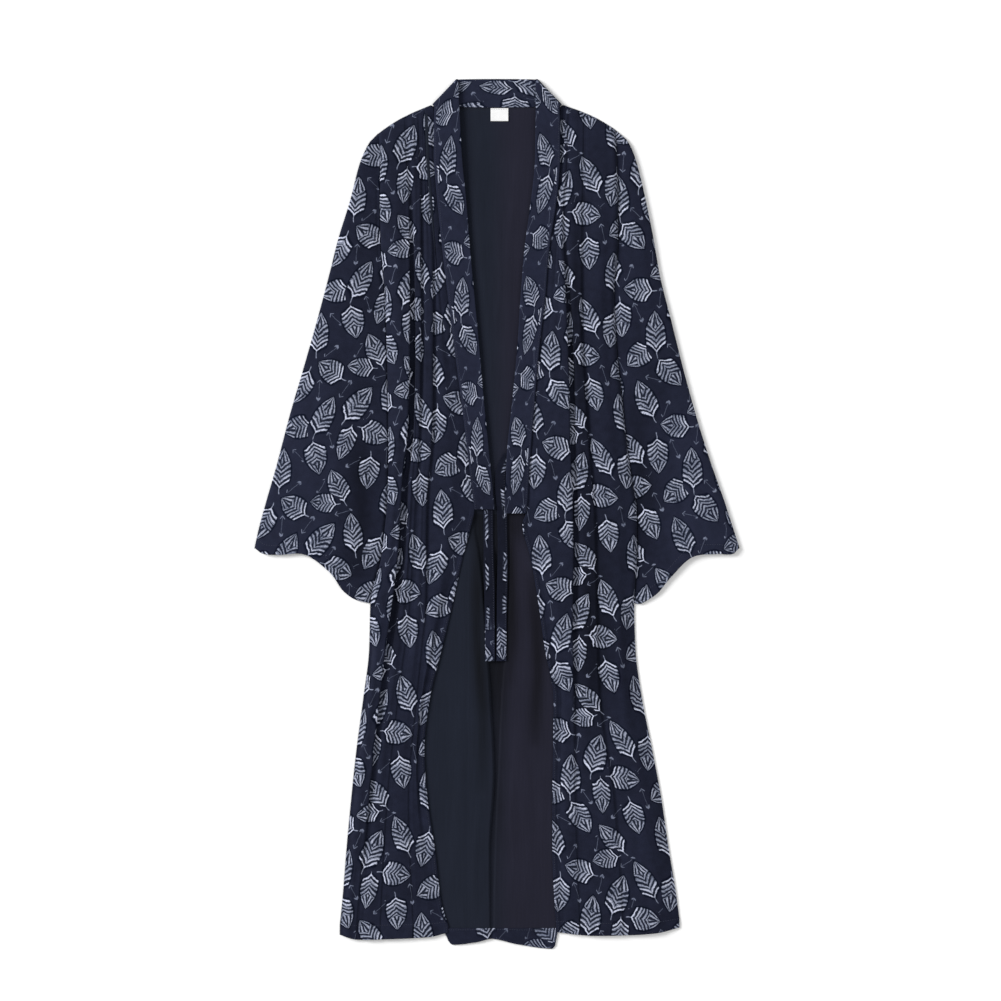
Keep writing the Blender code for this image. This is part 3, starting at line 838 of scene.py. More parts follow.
def stitching(name, paths):
    """Small arched stitches along paths over the cloth.

    paths: pairs of points and normals, both in millimetres. A stitch is a spindle: rings of
    STITCH_SIDES points about an arch over the cloth, closed by a point at each end, where the
    thread goes into it.
    """
    thread = bpy.context.scene.robe_thread
    half = in_mm(thread.stitch) / 2
    radius = in_mm(thread.width) / 2
    around = 2 * math.pi * np.arange(STITCH_SIDES) / STITCH_SIDES
    stitches = []
    for points, normals in paths:
        run = run_length(points[None])[0]
        at = np.arange(half, run[-1] - half, in_mm(thread.pitch))
        if not len(at):
            continue

        def along_path(values, where):
            return np.stack([np.interp(where, run, values[:, axis]) for axis in range(3)], axis=1)

        middle = along_path(points, at)
        ahead = unit(along_path(points, at + STITCH_AHEAD) - along_path(points, at - STITCH_AHEAD))
        side = unit(np.cross(along_path(normals, at), ahead))
        up = np.cross(ahead, side)
        shape = [middle - ahead * half - up * radius]
        for share, thick in STITCH_RINGS:
            for angle in around:
                off = side * math.cos(angle) + up * STITCH_FLATNESS * math.sin(angle)
                arch = up * radius * (STITCH_ARCH - share**2)
                shape.append(middle + ahead * half * share + arch + off * radius * thick)
        shape.append(middle + ahead * half - up * radius)
        stitches.append(np.stack(shape, axis=1).reshape(-1, 3))
    verts = np.concatenate(stitches)
    pattern = stitch_faces()
    faces = []
    for start in range(0, len(verts), STITCH_POINTS):
        faces += [[start + corner for corner in face] for face in pattern]
    mesh = bpy.data.meshes.new(name)
    mesh.from_pydata((verts * MM).tolist(), [], faces)
    mesh.update()
    mesh.shade_smooth()
    return add_piece(name, mesh, [thread_material()])


# -------- Shaders --------


def operation(kind, swapped=False):
    """A method that puts a field, and the other values if there are any, through a maths node."""

    def method(field, *others):
        values = (*others, field) if swapped else (field, *others)
        made = field.shader.node("ShaderNodeMath", {"operation": kind}, dict(enumerate(values)))
        return Field(field.shader, made.outputs[0])

    return method


class Field:
    """A number that varies over a surface. Arithmetic on it adds nodes to its shader."""

    def __init__(self, shader, socket):
        self.shader = shader
        self.socket = socket

    __add__ = operation("ADD")
    __radd__ = operation("ADD")
    __sub__ = operation("SUBTRACT")
    __rsub__ = operation("SUBTRACT", swapped=True)
    __mul__ = operation("MULTIPLY")
    __rmul__ = operation("MULTIPLY")
    __truediv__ = operation("DIVIDE")
    __pow__ = operation("POWER")
    __abs__ = operation("ABSOLUTE")
    most = operation("MAXIMUM")
    least = operation("MINIMUM")
    below = operation("LESS_THAN")
    sine = operation("SINE")

    def __neg__(self):
        return self * -1.0

    def rise(self, low, high):
        """0 up to low, 1 from high, smooth between."""
        settings = {"interpolation_type": "SMOOTHSTEP"}
        inputs = {"Value": self, "From Min": low, "From Max": high}
        return Field(self.shader, self.shader.node("ShaderNodeMapRange", settings, inputs).outputs[0])


class Shader:
    """A material, and the nodes that feed its Principled surface."""

    def __init__(self, name):
        self.material = bpy.data.materials.new(name)
        self.material.use_nodes = True
        self.tree = self.material.node_tree
        self.surface = self.tree.nodes["Principled BSDF"]

    def feed(self, socket, value):
        if isinstance(value, Field):
            value = value.socket
        if isinstance(value, bpy.types.NodeSocket):
            self.tree.links.new(value, socket)
        else:
            socket.default_value = value

    def node(self, kind, settings=None, inputs=None):
        """A node of this kind: its settings first, then values or links for its inputs."""
        made = self.tree.nodes.new(kind)
        for name, value in (settings or {}).items():
            setattr(made, name, value)
        for key, value in (inputs or {}).items():
            self.feed(made.inputs[key], value)
        return made

    def vector_math(self, kind, *values):
        return self.node("ShaderNodeVectorMath", {"operation": kind}, dict(enumerate(values))).outputs[0]

    def scaled(self, vector, amount):
        inputs = {0: vector, "Scale": amount}
        return self.node("ShaderNodeVectorMath", {"operation": "SCALE"}, inputs).outputs[0]

    def parts(self, vector):
        split = self.node("ShaderNodeSeparateXYZ", None, {0: vector})
        return [Field(self, socket) for socket in split.outputs]

    def noise_node(self, where, scale, detail):
        inputs = {"Vector": where, "Scale": scale, "Detail": detail}
        return self.node("ShaderNodeTexNoise", None, inputs)

    def noise(self, where, scale, detail=2.0):
        """Noise between 0 and 1."""
        return Field(self, self.noise_node(where, scale, detail).outputs[0])

    def uneven(self, where, scale, detail=2.0):
        """Noise between -0.5 and 0.5."""
        return self.noise(where, scale, detail) - 0.5

    def tint(self, amount, low, high):
        """A colour between low and high, by amount."""
        low, high = ((*part, 1.0) if isinstance(part, tuple) else part for part in (low, high))
        # Inputs 6 and 7 of this node are its colours, and output 2 is the mixed one.
        return self.node("ShaderNodeMix", {"data_type": "RGBA"}, {0: amount, 6: low, 7: high}).outputs[2]

    def relief(self, height, distance, strength=1.0):
        """A bump of this height field, which is 1 at a distance in metres."""
        inputs = {"Strength": strength, "Distance": distance, "Height": height}
        return self.node("ShaderNodeBump", None, inputs).outputs[0]

    def finish(self, **inputs):
        """Sets or links inputs of the Principled surface, by name."""
        for name, value in inputs.items():
            self.feed(self.surface.inputs[name.replace("_", " ").title().replace("Ior", "IOR")], value)
        return self.material


def leaf_ink(x, y, wobble, drift):
    """How much ink a leaf puts at a point, and how far the point is in the deep dye round it.

    The leaf reaches from -1 to 1 along y, its stalk below. The outline widens in a curve from the
    stalk and narrows in another to the tip. Inside it run bands cut by wavy lines, as functions of
    y less a share of the distance from the midrib, so that they meet in an angle that points to
    the stalk. The cuts differ in width, and a hairline splits each band. Past a gap, the tip is
    filled by lines that run along the outline.
    """
    side = abs(x)
    tipward = ((y - LEAF_WIDEST) * (1 / (1 - LEAF_WIDEST))).most(0.0)
    baseward = (LEAF_WIDEST - y).most(0.0)
    half = 1 - tipward**2.4 - baseward * baseward * 0.62
    slant = y - side * LEAF_SLANT + side * side * 0.22 + wobble * 0.012 + drift * 0.09
    blade = (half - side + wobble * 0.035).rise(-0.02, 0.10) * slant.rise(-1.05, -0.97)
    deep = (half - side + 0.20).rise(0.0, 0.16) * slant.rise(-1.20, -1.04)
    phase = slant * (2 * math.pi * LEAF_BANDS)
    uneven = (phase * 0.5 + 0.4).sine() * 0.30 + (phase * 0.27 + 2.0).sine() * 0.18
    cut = uneven + drift * 0.8 + wobble * 0.12 - 0.18
    bands = ((phase + drift * 1.8 + 0.9).sine() - cut).rise(-0.16, 0.30)
    hairlines = (phase * 2 + wobble * 0.5 + drift * 2 + 0.4).sine().rise(-1.0, 0.2)
    near_stalk = (-slant).rise(0.45, 0.92)
    across = bands * (hairlines * 0.62 + 0.38) * (near_stalk * 0.44 + 0.44)
    round_tip = side / half.most(0.08) * 12.5 + y * 4.0 + wobble * 0.4 + drift * 2 + 0.9
    past = y - side * 0.25 + drift * 0.5 - LEAF_TIP
    lines = across + (round_tip.sine().rise(-0.5, 0.7) * 0.50 - across) * past.rise(-0.03, 0.03)
    inked = lines * (abs(past).rise(0.0, 0.05) * 0.6 + 0.4) * 0.98 + 0.02
    bent = (y + 1) * (y + 1) * 0.8
    stalk = (0.07 - abs(x - bent)).rise(0.0, 0.07) * (-y).rise(0.85, 0.95) * y.rise(-1.32, -1.24)
    return (blade * inked).most(stalk * 0.45), deep


def arrow_ink(x, y, wobble):
    """How much ink an arrow puts at a point: a thin shaft, an open head and a split fletching."""
    side = abs(x)
    shaft = (0.12 - side).rise(0.0, 0.12) * (0.92 - abs(y)).rise(0.0, 0.05)
    head = (0.22 - abs((1 - y) * 2.6 - side)).rise(0.0, 0.2) * (0.75 - side).rise(0.0, 0.15)
    along = (y + 1) * 3.2 - side + wobble * 0.05
    feather = along.rise(0.0, 0.2) * (1.0 - along).rise(0.0, 0.25) * (0.62 - side).rise(0.0, 0.15)
    return (shaft * 0.16).most(head * 0.30).most(feather * 0.27)


def nearest_motif(shader, where):
    """The point's place in the motif that covers it, in half sizes of its oval, and the kind's mark.

    For each motif in turn the place is found in its frame, and kept if it lies within the oval.
    The mark rides in z, so that one length and one comparison tell whether it does.
    """
    found = (0.0, 0.0, 0.0)
    tile = (REPEAT[0] * MM / 2, REPEAT[1] * MM / 2)
    kinds = ((ARROWS, ARROW_MARK, ARROW_OVAL), (LEAVES, LEAF_MARK, LEAF_OVAL))
    for motifs, mark, (oval_x, oval_y, oval_half) in kinds:
        for motif in motifs:
            turn = math.radians(motif.turn)
            lift = oval_y * motif.half_length
            centre = ((motif.x - math.sin(turn) * lift) * MM, (motif.y + math.cos(turn) * lift) * MM, 0.0)
            away = shader.vector_math("SUBTRACT", where, centre)
            wrapped = shader.vector_math("WRAP", away, (*tile, 1.0), (-tile[0], -tile[1], -1.0))
            inputs = {"Vector": wrapped, "Angle": -turn}
            turned = shader.node("ShaderNodeVectorRotate", {"rotation_type": "Z_AXIS"}, inputs).outputs[0]
            size = (oval_x * motif.half_width * MM, oval_half * motif.half_length * MM)
            per_size = (1 / size[0], 1 / size[1], 0.0)
            scaled = shader.vector_math("MULTIPLY_ADD", turned, per_size, (0.0, 0.0, mark))
            reach = shader.node("ShaderNodeVectorMath", {"operation": "LENGTH"}, {0: scaled})
            inside = Field(shader, reach.outputs["Value"]).below(math.sqrt(1 + mark**2))
            # Inputs 4 and 5 of this node are its vectors, and output 1 is the mixed one.
            inputs = {0: inside, 4: found, 5: scaled}
            found = shader.node("ShaderNodeMix", {"data_type": "VECTOR"}, inputs).outputs[1]
    return found


# How far the printed lines wander, in metres.
PRINT_WANDER = 0.0020


def print_ink(shader, place):
    """Ink and deep dye of the whole repeat at a place on the uncut cloth, a vector in metres."""
    wander = shader.noise_node(place, 130.0, 1.0).outputs[1]
    reach = (PRINT_WANDER, PRINT_WANDER, 0.0)
    moved = shader.vector_math("MULTIPLY_ADD", wander, reach, (-PRINT_WANDER / 2, -PRINT_WANDER / 2, 0.0))
    found = nearest_motif(shader, shader.vector_math("ADD", place, moved))
    x, y, mark = shader.parts(found)
    wobble = shader.uneven(place, 300.0) * 6.0
    drift = shader.uneven(place, 65.0, 1.0) * 1.6
    leaf, deep = leaf_ink(x * LEAF_OVAL[0], y * LEAF_OVAL[2] + LEAF_OVAL[1], wobble, drift)
    arrow = arrow_ink(x * ARROW_OVAL[0], y * ARROW_OVAL[2] + ARROW_OVAL[1], wobble)
    is_leaf = (0.5 - abs(mark - LEAF_MARK)).rise(0.0, 0.1)
    is_arrow = (0.5 - abs(mark - ARROW_MARK)).rise(0.0, 0.1)
    return leaf * is_leaf + arrow * is_arrow, deep * is_leaf


# Width of a yarn in metres, and the weave's relief: its height in metres, and its strength.
YARN = 0.00042
WEAVE_RELIEF = (0.00012, 0.5)


def weave(shader, place):
    """Height of plain woven yarns: a product of sines along both, uneven as the yarns are."""
    u, v, _ = shader.parts(place)
    turn = math.pi / YARN
    return (u * turn).sine() * (v * turn).sine() * 0.35 + shader.noise(place, 900.0)


def cloth_place(shader):
    """Place on the uncut cloth, in metres."""
    return shader.node("ShaderNodeUVMap", {"uv_map": FLAT_MAP}).outputs[0]


def share_of(shader, name):
    """A share, 0 to 1, that the points of the mesh hold under this name."""
    return Field(shader, shader.node("ShaderNodeAttribute", {"attribute_name": name}).outputs["Fac"])


def scaled_colour(tone, shares):
    """A colour, with all of it or each of its parts at a share of its brightness."""
    return tuple(float(part) for part in np.multiply(tone, shares))


def once(make):
    """Calls a maker of a material on its first use only, and then gives the same one again."""
    made = []

    def give():
        if not made:
            made.append(make())
        return made[0]

    return give


# How much wear lightens the printed side, and how much painted shade darkens it.
WORN_LIGHTER = 0.36
PAINTED_SHADE_DARKER = 0.52
# Brightness of the reverse under full painted shade, and how much it gains where there is none.
REVERSE_UNDER_PAINTED_SHADE = 0.34
REVERSE_UNSHADED_GAIN = 0.66
# The reverse turns from blue to purple across these x, in metres, by these shares of its colour.
HUE_TURN = (-0.02, 0.03)
PURPLE = (1.45, 1.10, 1.14)
# Pitch of the label's ribs, in metres.
RIB = 0.0005


@once
def printed_cotton():
    """Navy cotton, printed in off-white with leaves and arrows.

    It is lighter where it is worn, and darker under the painted shade of folds and edges. The ink is
    uneven, as from blocks, and thin ink lets the blue through.
    """
    shader = Shader("Printed_Cotton")
    place = cloth_place(shader)
    tones = colours()
    broad = shader.uneven(place, 14.0, 3.0)
    patchy = shader.uneven(place, 90.0)
    fine = shader.uneven(place, 700.0)
    worn = share_of(shader, "Rub")
    shade = broad * 0.6 + patchy * 0.6 + fine * 0.8 + worn * WORN_LIGHTER + 1.0
    blotch = shader.uneven(place, 60.0, 1.0)
    speck = shader.uneven(place, 380.0, 1.0)
    strength = 1.0 + blotch * 1.3 + speck * 1.7 - worn * 0.15
    printed = 1.0 - share_of(shader, "Bare")
    ink, deep = print_ink(shader, place)
    ink = ink * strength.most(0.0).least(1.2) * printed
    # Painted shade: the ground darkens where folds and edges would shade it, and the ink keeps its
    # brightness.
    shade = shade * (1.0 - share_of(shader, "Kept") * PAINTED_SHADE_DARKER)
    ground = shader.scaled(shader.tint(deep * printed, tuple(tones.ground), tuple(tones.deep)), shade)
    full = tuple(tones.ink)
    thin = scaled_colour(full, THIN_INK)
    base = shader.tint(ink, ground, shader.tint(ink.rise(0.0, 0.7), thin, full))
    bump = shader.relief(weave(shader, place) + ink * 0.15, *WEAVE_RELIEF)
    roughness = 0.90 - ink * 0.06 - worn * 0.08 + fine * 0.06
    return shader.finish(
        base_color=base,
        roughness=roughness,
        normal=bump,
        sheen_weight=0.02,
        sheen_roughness=0.5,
        specular_ior_level=0.05,
    )


@once
def cotton_reverse():
    """Plain navy reverse side, darker under painted shade, with faint streaks along the yarns."""
    shader = Shader("Cotton_Reverse")
    place = cloth_place(shader)
    long_yarns = shader.vector_math("MULTIPLY", place, (1.0, 0.045, 1.0))
    streaks = shader.noise(long_yarns, 420.0, 3.0)
    broad = shader.uneven(place, 11.0)
    fine = shader.uneven(place, 800.0)
    # Painted shade: the reverse darkens below the band's ends and between the back's ridges.
    unshaded = 1.0 - share_of(shader, "Kept")
    shade = (streaks - 0.5) * 0.35 + broad * 0.3 + fine * 0.4 + unshaded * REVERSE_UNSHADED_GAIN + REVERSE_UNDER_PAINTED_SHADE
    blue = tuple(colours().reverse)
    purple = scaled_colour(blue, PURPLE)
    across = shader.parts(shader.node("ShaderNodeTexCoord").outputs["Object"])[0]
    hue = shader.tint(across.rise(*HUE_TURN), blue, purple)
    bump = shader.relief(weave(shader, place) + streaks * 0.6, *WEAVE_RELIEF)
    roughness = 0.92 + fine * 0.08
    return shader.finish(
        base_color=shader.scaled(hue, shade),
        roughness=roughness,
        normal=bump,
        sheen_weight=0.03,
        sheen_roughness=0.5,
        specular_ior_level=0.12,
    )


@once
def thread_material():
    """Sewing thread, a little lighter than the cloth, with a fine twist."""
    shader = Shader("Sewing_Thread")
    where = shader.node("ShaderNodeTexCoord").outputs["Object"]
    twist = shader.noise(where, 2600.0)
    tone = colours().thread
    base = shader.tint(twist, scaled_colour(tone, 0.7), scaled_colour(tone, 1.4))
    bump = shader.relief(twist, 0.00005, 0.6)
    return shader.finish(base_color=base, roughness=twist * 0.2 + 0.6, normal=bump)


@once
def label_tape():
    """White satin tape: fine ribs across it, and a slight mottling."""
    shader = Shader("Label_Tape")
    place = cloth_place(shader)
    _, v, _ = shader.parts(place)
    ribs = (v * (2 * math.pi / RIB)).sine()
    mottle = shader.noise(place, 260.0)
    tone = tuple(colours().label)
    base = shader.tint(mottle, scaled_colour(tone, 0.90), tone)
    bump = shader.relief(ribs * 0.5 + mottle, 0.00006, 0.5)
    return shader.finish(base_color=base, roughness=mottle * 0.15 + 0.45, normal=bump)


def floor_material():
    """Pale floor with a barely seen mottling."""
    shader = Shader("Floor")
    where = shader.node("ShaderNodeTexCoord").outputs["Object"]
    mottle = shader.noise(where, 3.0)
    tone = tuple(colours().floor)
    base = shader.tint(mottle, scaled_colour(tone, 0.985), tone)
    return shader.finish(base_color=base, roughness=mottle * 0.05 + 0.88, specular_ior_level=0.1)


# -------- Back --------

# Middle heights of cloth that lies on the ground, and of cloth sewn down on it.
FLOOR_LAYER = 0.5
SECOND_LAYER = 1.45
# Rows above a hem: close together at its edge and at the line that it is sewn down by.
HEM_LEVELS = (0.0, 0.8, 2.5, 6.0, 11.0, 15.0, 17.6, 18.8, 20.0, 21.2, 23.0, 27.0, 33.0)
HEM_SEWN = HEM_LEVELS.index(18.8)
# The lowest row starts this far below the first of BODY, and is drawn from there to the hem line.
HEM_DROP = 12
# Up to this y the rows follow the hem less and less.
HEM_BLEND_TOP = -560.0
# x of the back's columns at the hem, and of the two that run straight up. The steps between more
# columns: anywhere, and where the soft ridges start.
BACK_COLUMNS = (
    (-236, -200, -165, -135, -110, -78, -73, -67, -48, -33, -22, -14, -7)
    + (0, 8, 18, 34, 58, 83, 87, 92, 125, 165, 205, 240, 274)
)
FIXED_COLUMNS = (-110, 125)
COLUMN_STEP = 4.5
RIDGE_COLUMN_STEP = 0.9
# Share of the full waver on the back, and where it fades out: from which x, over what distance.
INNER_WAVER = 0.5
WAVER_END = 60
WAVER_FADE = 20
# Place of the back on the bolt, and how far its lowest row stops short of the hem line.
BACK_BOLT = (37, 0)
TURNUP_ROOM = 1.3
# Share of painted shade on the back between its ridges, the softness of the two sides, and where
# it fades to a share of that at the hem: up to full from which y, over what distance.
BETWEEN_PAINTED_SHADE = 0.68
CRISP_SIDE = 3
SOFT_SIDE = 26
LOW_PAINTED_SHADE = 0.4
LOW_PAINTED_SHADE_Y = (-560, 160)
# Painted shade below the band's ends: from which y, over what distance at least and at most,
# and where all painted shade ends.
ENDS_PAINTED_SHADE_FROM = -75
ENDS_PAINTED_SHADE_RISE = (45, 75)
PAINTED_SHADE_TOP = 8


def back_height(x, y):
    """Middle height of the back: flat on the ground, with two soft ridges beside its lower middle."""
    to_left = column(BACK_FOLDS, "left_line", y) - x
    to_right = x - column(BACK_FOLDS, "right_line", y)
    height = FLOOR_LAYER
    for beyond, name in ((to_left, "left_height"), (to_right, "right_height")):
        fade = np.clip(1 - (beyond / RIDGE_REACH) ** 2, 0, 1) ** 2
        height = height + column(BACK_FOLDS, name, y) * ease(beyond / RIDGE_RISE) * fade
    return height


def back_surface(x, y):
    """The back's middle height with its soft creases and its waver, which only rise from the ground."""
    uneven = np.maximum(waver(x, y), 0) * ease((WAVER_END - abs(x)) / WAVER_FADE)
    return back_height(x, y) + np.maximum(crease_height(BACK_CREASES, x, y), 0) + INNER_WAVER * uneven


def neck_seam(x):
    """y of the back neck seam."""
    return NECK_SEAM + NECK_SEAM_RISE * (x / LEFT_TURN[0][0]) ** 2


def shoulder_rise(t):
    """How far the shoulder line rounds above a straight line, at a share of its length.

    It rises in the middle, and flares up to the collar over the first part.
    """
    t = np.clip(t, 0, 1)
    flare = SHOULDER_FLARE * ease(t / SHOULDER_FLARE_SHARE) * (1 - t) ** 4
    return SHOULDER_RISE * np.sin(math.pi * t) + flare


def back_top(x):
    """y of the back's upper edge: the shoulder lines, and the neck seam between them."""
    edge = neck_seam(x)
    for outer, inner in (LEFT_SHOULDER, RIGHT_SHOULDER):
        t = (x - inner[0]) / (outer[0] - inner[0])
        edge = np.where(t > 0, mix(inner[1], outer[1], t) + shoulder_rise(t), edge)
    return edge


def main_levels():
    """y of every panel's rows: those near a level hem, and the others up to the armhole's top."""
    low = BODY[0].y - HEM_DROP + np.array(HEM_LEVELS)
    return np.concatenate([low, evenly(low[-1], BODY[-1].y, in_mm(cloth_sizes().row_step))[1:]])


def follow_hem(level, hem_y):
    """y of a row's points: on the hem line at the lowest level, straight from the blend's top."""
    lowest = BODY[0].y - HEM_DROP
    share = np.clip((level - lowest) / (HEM_BLEND_TOP - lowest), 0, 1)
    return level + (hem_y - lowest) * (1 - share) ** 2


def back_columns():
    """x of the back's columns at the hem: close together where the soft ridges start."""
    wide = refined(np.array(BACK_COLUMNS, float), COLUMN_STEP)
    outside = (wide < RIDGE_FEET[0]) | (wide > RIDGE_FEET[1])
    return np.union1d(wide[outside], evenly(*RIDGE_FEET, RIDGE_COLUMN_STEP))


def back_grid():
    """x and y of the back's grid, rows from the hem up."""
    hem_x = back_columns()
    hem_y = column(BACK_HEM, "y", hem_x, along="x")

    def across(left, right):
        """x of a row whose ends lie on the side edges at these y."""
        ends = [body_edge("left_side", left), body_edge("right_side", right)]
        knots = [hem_x[0], *FIXED_COLUMNS, hem_x[-1]]
        return np.interp(hem_x, knots, [ends[0], *FIXED_COLUMNS, ends[1]])

    levels = main_levels()
    held = np.maximum(levels, BODY[0].y)
    rows = [(across(y, y), follow_hem(level, hem_y)) for level, y in zip(levels, held)]
    below = rows[-1][1]
    top = back_top(across(LEFT_SHOULDER[0][1], RIGHT_SHOULDER[0][1]))
    for share in evenly(0, 1, 0.1)[1:]:
        y = mix(below, top, share)
        rows.append((across(y[0], y[-1]), y))
    return np.array(rows).transpose(1, 0, 2)


def back_painted_shade(x, y):
    """Painted shade on each point of the back: most near the band's ends, none above them.

    Between the ridges' feet it also paints some shade, with a crisp edge on the left and a soft one
    on the right. The table's soft bands add to both.
    """
    from_left = x - column(BACK_FOLDS, "left_line", y)
    from_right = column(BACK_FOLDS, "right_line", y) - x
    between = ease(from_left / CRISP_SIDE + 0.5) * ease(from_right / SOFT_SIDE + 0.8)
    between = between * mix(LOW_PAINTED_SHADE, 1, ease((y - LOW_PAINTED_SHADE_Y[0]) / LOW_PAINTED_SHADE_Y[1]))
    quick, slow = (ease((y - ENDS_PAINTED_SHADE_FROM) / rise) for rise in ENDS_PAINTED_SHADE_RISE)
    painted_shade = np.maximum(BETWEEN_PAINTED_SHADE * between, quick * slow * (1 - 0.3 * (1 - between)))
    return np.clip(painted_shade + soft_bands(BACK_PAINTED_SHADE, x, y), 0, 1) * ease((PAINTED_SHADE_TOP - y) / 5)


class ROBE_OT_back_panel(bpy.types.Operator):
    """Makes the back, one panel under everything, with soft folds down its middle"""

    bl_idname = "robe.back_panel"
    bl_label = "Back panel"

    def execute(self, context):
        x, y = back_grid()
        # The sheet stops short of the hem line, where the turned-up allowance folds round it.
        y += TURNUP_ROOM * np.clip(1 - np.arange(len(y)) / HEM_SEWN, 0, 1)[:, None]
        points = np.stack([x, y, back_surface(x, y)], axis=2)
        # The back's painted shade, below the band's ends and between its ridges.
        mesh = grid_mesh("Back_Panel", points, points[:, :, :2] + BACK_BOLT, painted_shade=back_painted_shade(x, y))
        piece = add_piece("Back_Panel", mesh, [cotton_reverse(), printed_cotton()])
        add_wall(piece, cloth_sizes().wall)
        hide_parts("back")
        return {"FINISHED"}


# The turned-up hem: rows round its fold, as distance from the hem line and height over the back,
# rows above it, as shares of the way to its top, the row that is sewn, and the gap at its ends.
TURNUP_FOLD = ((1.5, 0.02), (0.55, 0.12), (0.10, 0.42), (0.08, 0.80), (0.5, 1.05), (1.3, 1.12))
TURNUP_SHARES = (0.12, 0.25, 0.4, 0.55, 0.7, 0.82, 0.9, 0.95, 1.0)
TURNUP_SEWN = -3
TURNUP_SIDE_GAP = 10
# Place on the bolt of the fold, share of print missing, and wear: over the fold, and past it.
TURNUP_BOLT = (37, -640)
TURNUP_BARE = 0.35
TURNUP_WORN = (0.6, 0.1)
TURNUP_WORN_WIDTH = 4


class ROBE_OT_hem_turnup(bpy.types.Operator):
    """Makes the hem allowance of the back, folded up on its inside, with the print showing"""

    bl_idname = "robe.hem_turnup"
    bl_label = "Hem turn-up"

    def execute(self, context):
        x = back_columns()
        x = x[(x > x[0] + TURNUP_SIDE_GAP) & (x < x[-1] - TURNUP_SIDE_GAP)]
        hem = column(BACK_HEM, "y", x, along="x")
        top = column(TURNUP_TOP, "y", x, along="x")
        ys = [hem + out for out, _ in TURNUP_FOLD]
        zs = [back_surface(x, hem) + up for _, up in TURNUP_FOLD]
        inner, lift = TURNUP_FOLD[-1]
        for share in TURNUP_SHARES:
            y = mix(hem + inner, top, share)
            # The raw edge is turned in, so the last few millimetres are a little fuller.
            fuller = 0.25 * ease((share - 0.75) / 0.1) - 0.35 * ease((share - 0.93) / 0.07)
            ys.append(y)
            zs.append(back_surface(x, y) + lift + fuller + 0.15 * np.sin(x / 11 + 3 * share))
        points = np.stack([np.broadcast_to(x, np.shape(ys)), np.array(ys), np.array(zs)], axis=2)
        run = run_length(points.transpose(1, 0, 2)).T
        flat = np.stack([points[:, :, 0], run], axis=2) + TURNUP_BOLT
        worn = np.where(run < TURNUP_WORN_WIDTH, *TURNUP_WORN)
        mesh = grid_mesh("Back_Hem_Turnup", points, flat, worn, bare=np.full(run.shape, TURNUP_BARE))
        piece = add_piece("Back_Hem_Turnup", mesh, [printed_cotton(), cotton_reverse()])
        add_wall(piece, cloth_sizes().wall)
        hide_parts("back_hem_turnup")
        path = on_cloth(points[TURNUP_SEWN], normals_of(points)[TURNUP_SEWN], cloth_sizes().wall)
        seam = stitching("Hem_Turnup_Stitching", [path])
        return {"FINISHED"}


def on_cloth(points, normals, wall):
    """A path over the outer side of a cloth, and the normals along it."""
    return points + normals * (in_mm(wall) / 2 + THREAD_LIFT), normals


# -------- Fronts --------

# Middle heights of the side edge below and along the armhole, and where and over what distance
# they meet.
SIDE_LIP = 1.45
ARMHOLE_LIP = 1.8
ARMHOLE_FOOT = -134.0
ARMHOLE_BLEND = 30
# Guides at the side edge: how far in, and how far up below the armhole and along it.
SIDE_ROLL = [(0.0, 0.0, 0.0), (0.8, 0.02, 1.2), (2.0, 0.1, 3.2), (4.4, 0.8, 4.9)]
# Guides over the round of cloth between two folds: shares of the way, and where its top lies.
CREST_SHARES = (0.1, 0.22, 0.38, 0.58, 0.8)
CREST_TOP = 0.55
# How far the front's edge runs on under the collar band, and its height there.
TUCK = 3.0
TUCK_HEIGHT = 3.2
# Guides at the front edge: how far out, and how high over the cloth. Below the band's end it is a
# narrow hem, and above it the last two are heights over the ground.
FREE_HEM = [(-12.0, 0.25), (-7.2, 0.15), (-6.0, 0.5), (-3.0, 0.55), (-0.4, 0.35), (0.0, 0.0)]
FREE_SEWN = [(-11.0, 0.1), (-7.0, 0.0), (-4.5, -0.45), (-2.0, -1.0)]
FREE_SEWN += [(0.0, TUCK_HEIGHT + 0.3), (TUCK, TUCK_HEIGHT)]
FREE_SEWN_ON_CLOTH = 4
# The narrow hem's sewn line: guides from its edge, and how far short of the band it ends.
FREE_HEM_SEWN = 2
FREE_SEAM_GAP = 4
# Soft creases fade out over this distance from an edge.
EDGE_FADE = 12
# How much higher a hem stands, and over what distance its doubled cloth ends.
HEM_STEP = 0.35
HEM_STEP_WIDTH = 2.5
# The dip along its sewn line: depth, half width, and distance short of the hem's top.
HEM_DIP = 0.25
HEM_DIP_WIDTH = 1.2
# A front's rows above its armhole, as shares of the way to the shoulder, and how squarely they
# turn down to its seam.
SHOULDER_SHARES = (0.12, 0.25, 0.38, 0.5, 0.62, 0.72, 0.8, 0.87, 0.93, 0.97, 1.0)
SHOULDER_SQUARE = 2.6
# Wear shows above this height, and grows to full over this distance from it.
WORN_HEIGHT = 5
WORN_RISE = 4
# Where each front lies on the bolt.
FRONT_BOLT = {"Left": (61, 20), "Right": (23, 88)}


def crest(x_0, z_0, x_1, z_1, top):
    """Guides of the cloth between two places: a quick rise to the top and an easy fall from it."""
    guides = []
    for share in CREST_SHARES:
        risen = 1 - (1 - min(share / CREST_TOP, 1)) ** 2
        fallen = ease((share - CREST_TOP) / (1 - CREST_TOP))
        guides.append((mix(x_0, x_1, share), z_0 + (top - z_0) * risen + (z_1 - top) * fallen))
    return guides


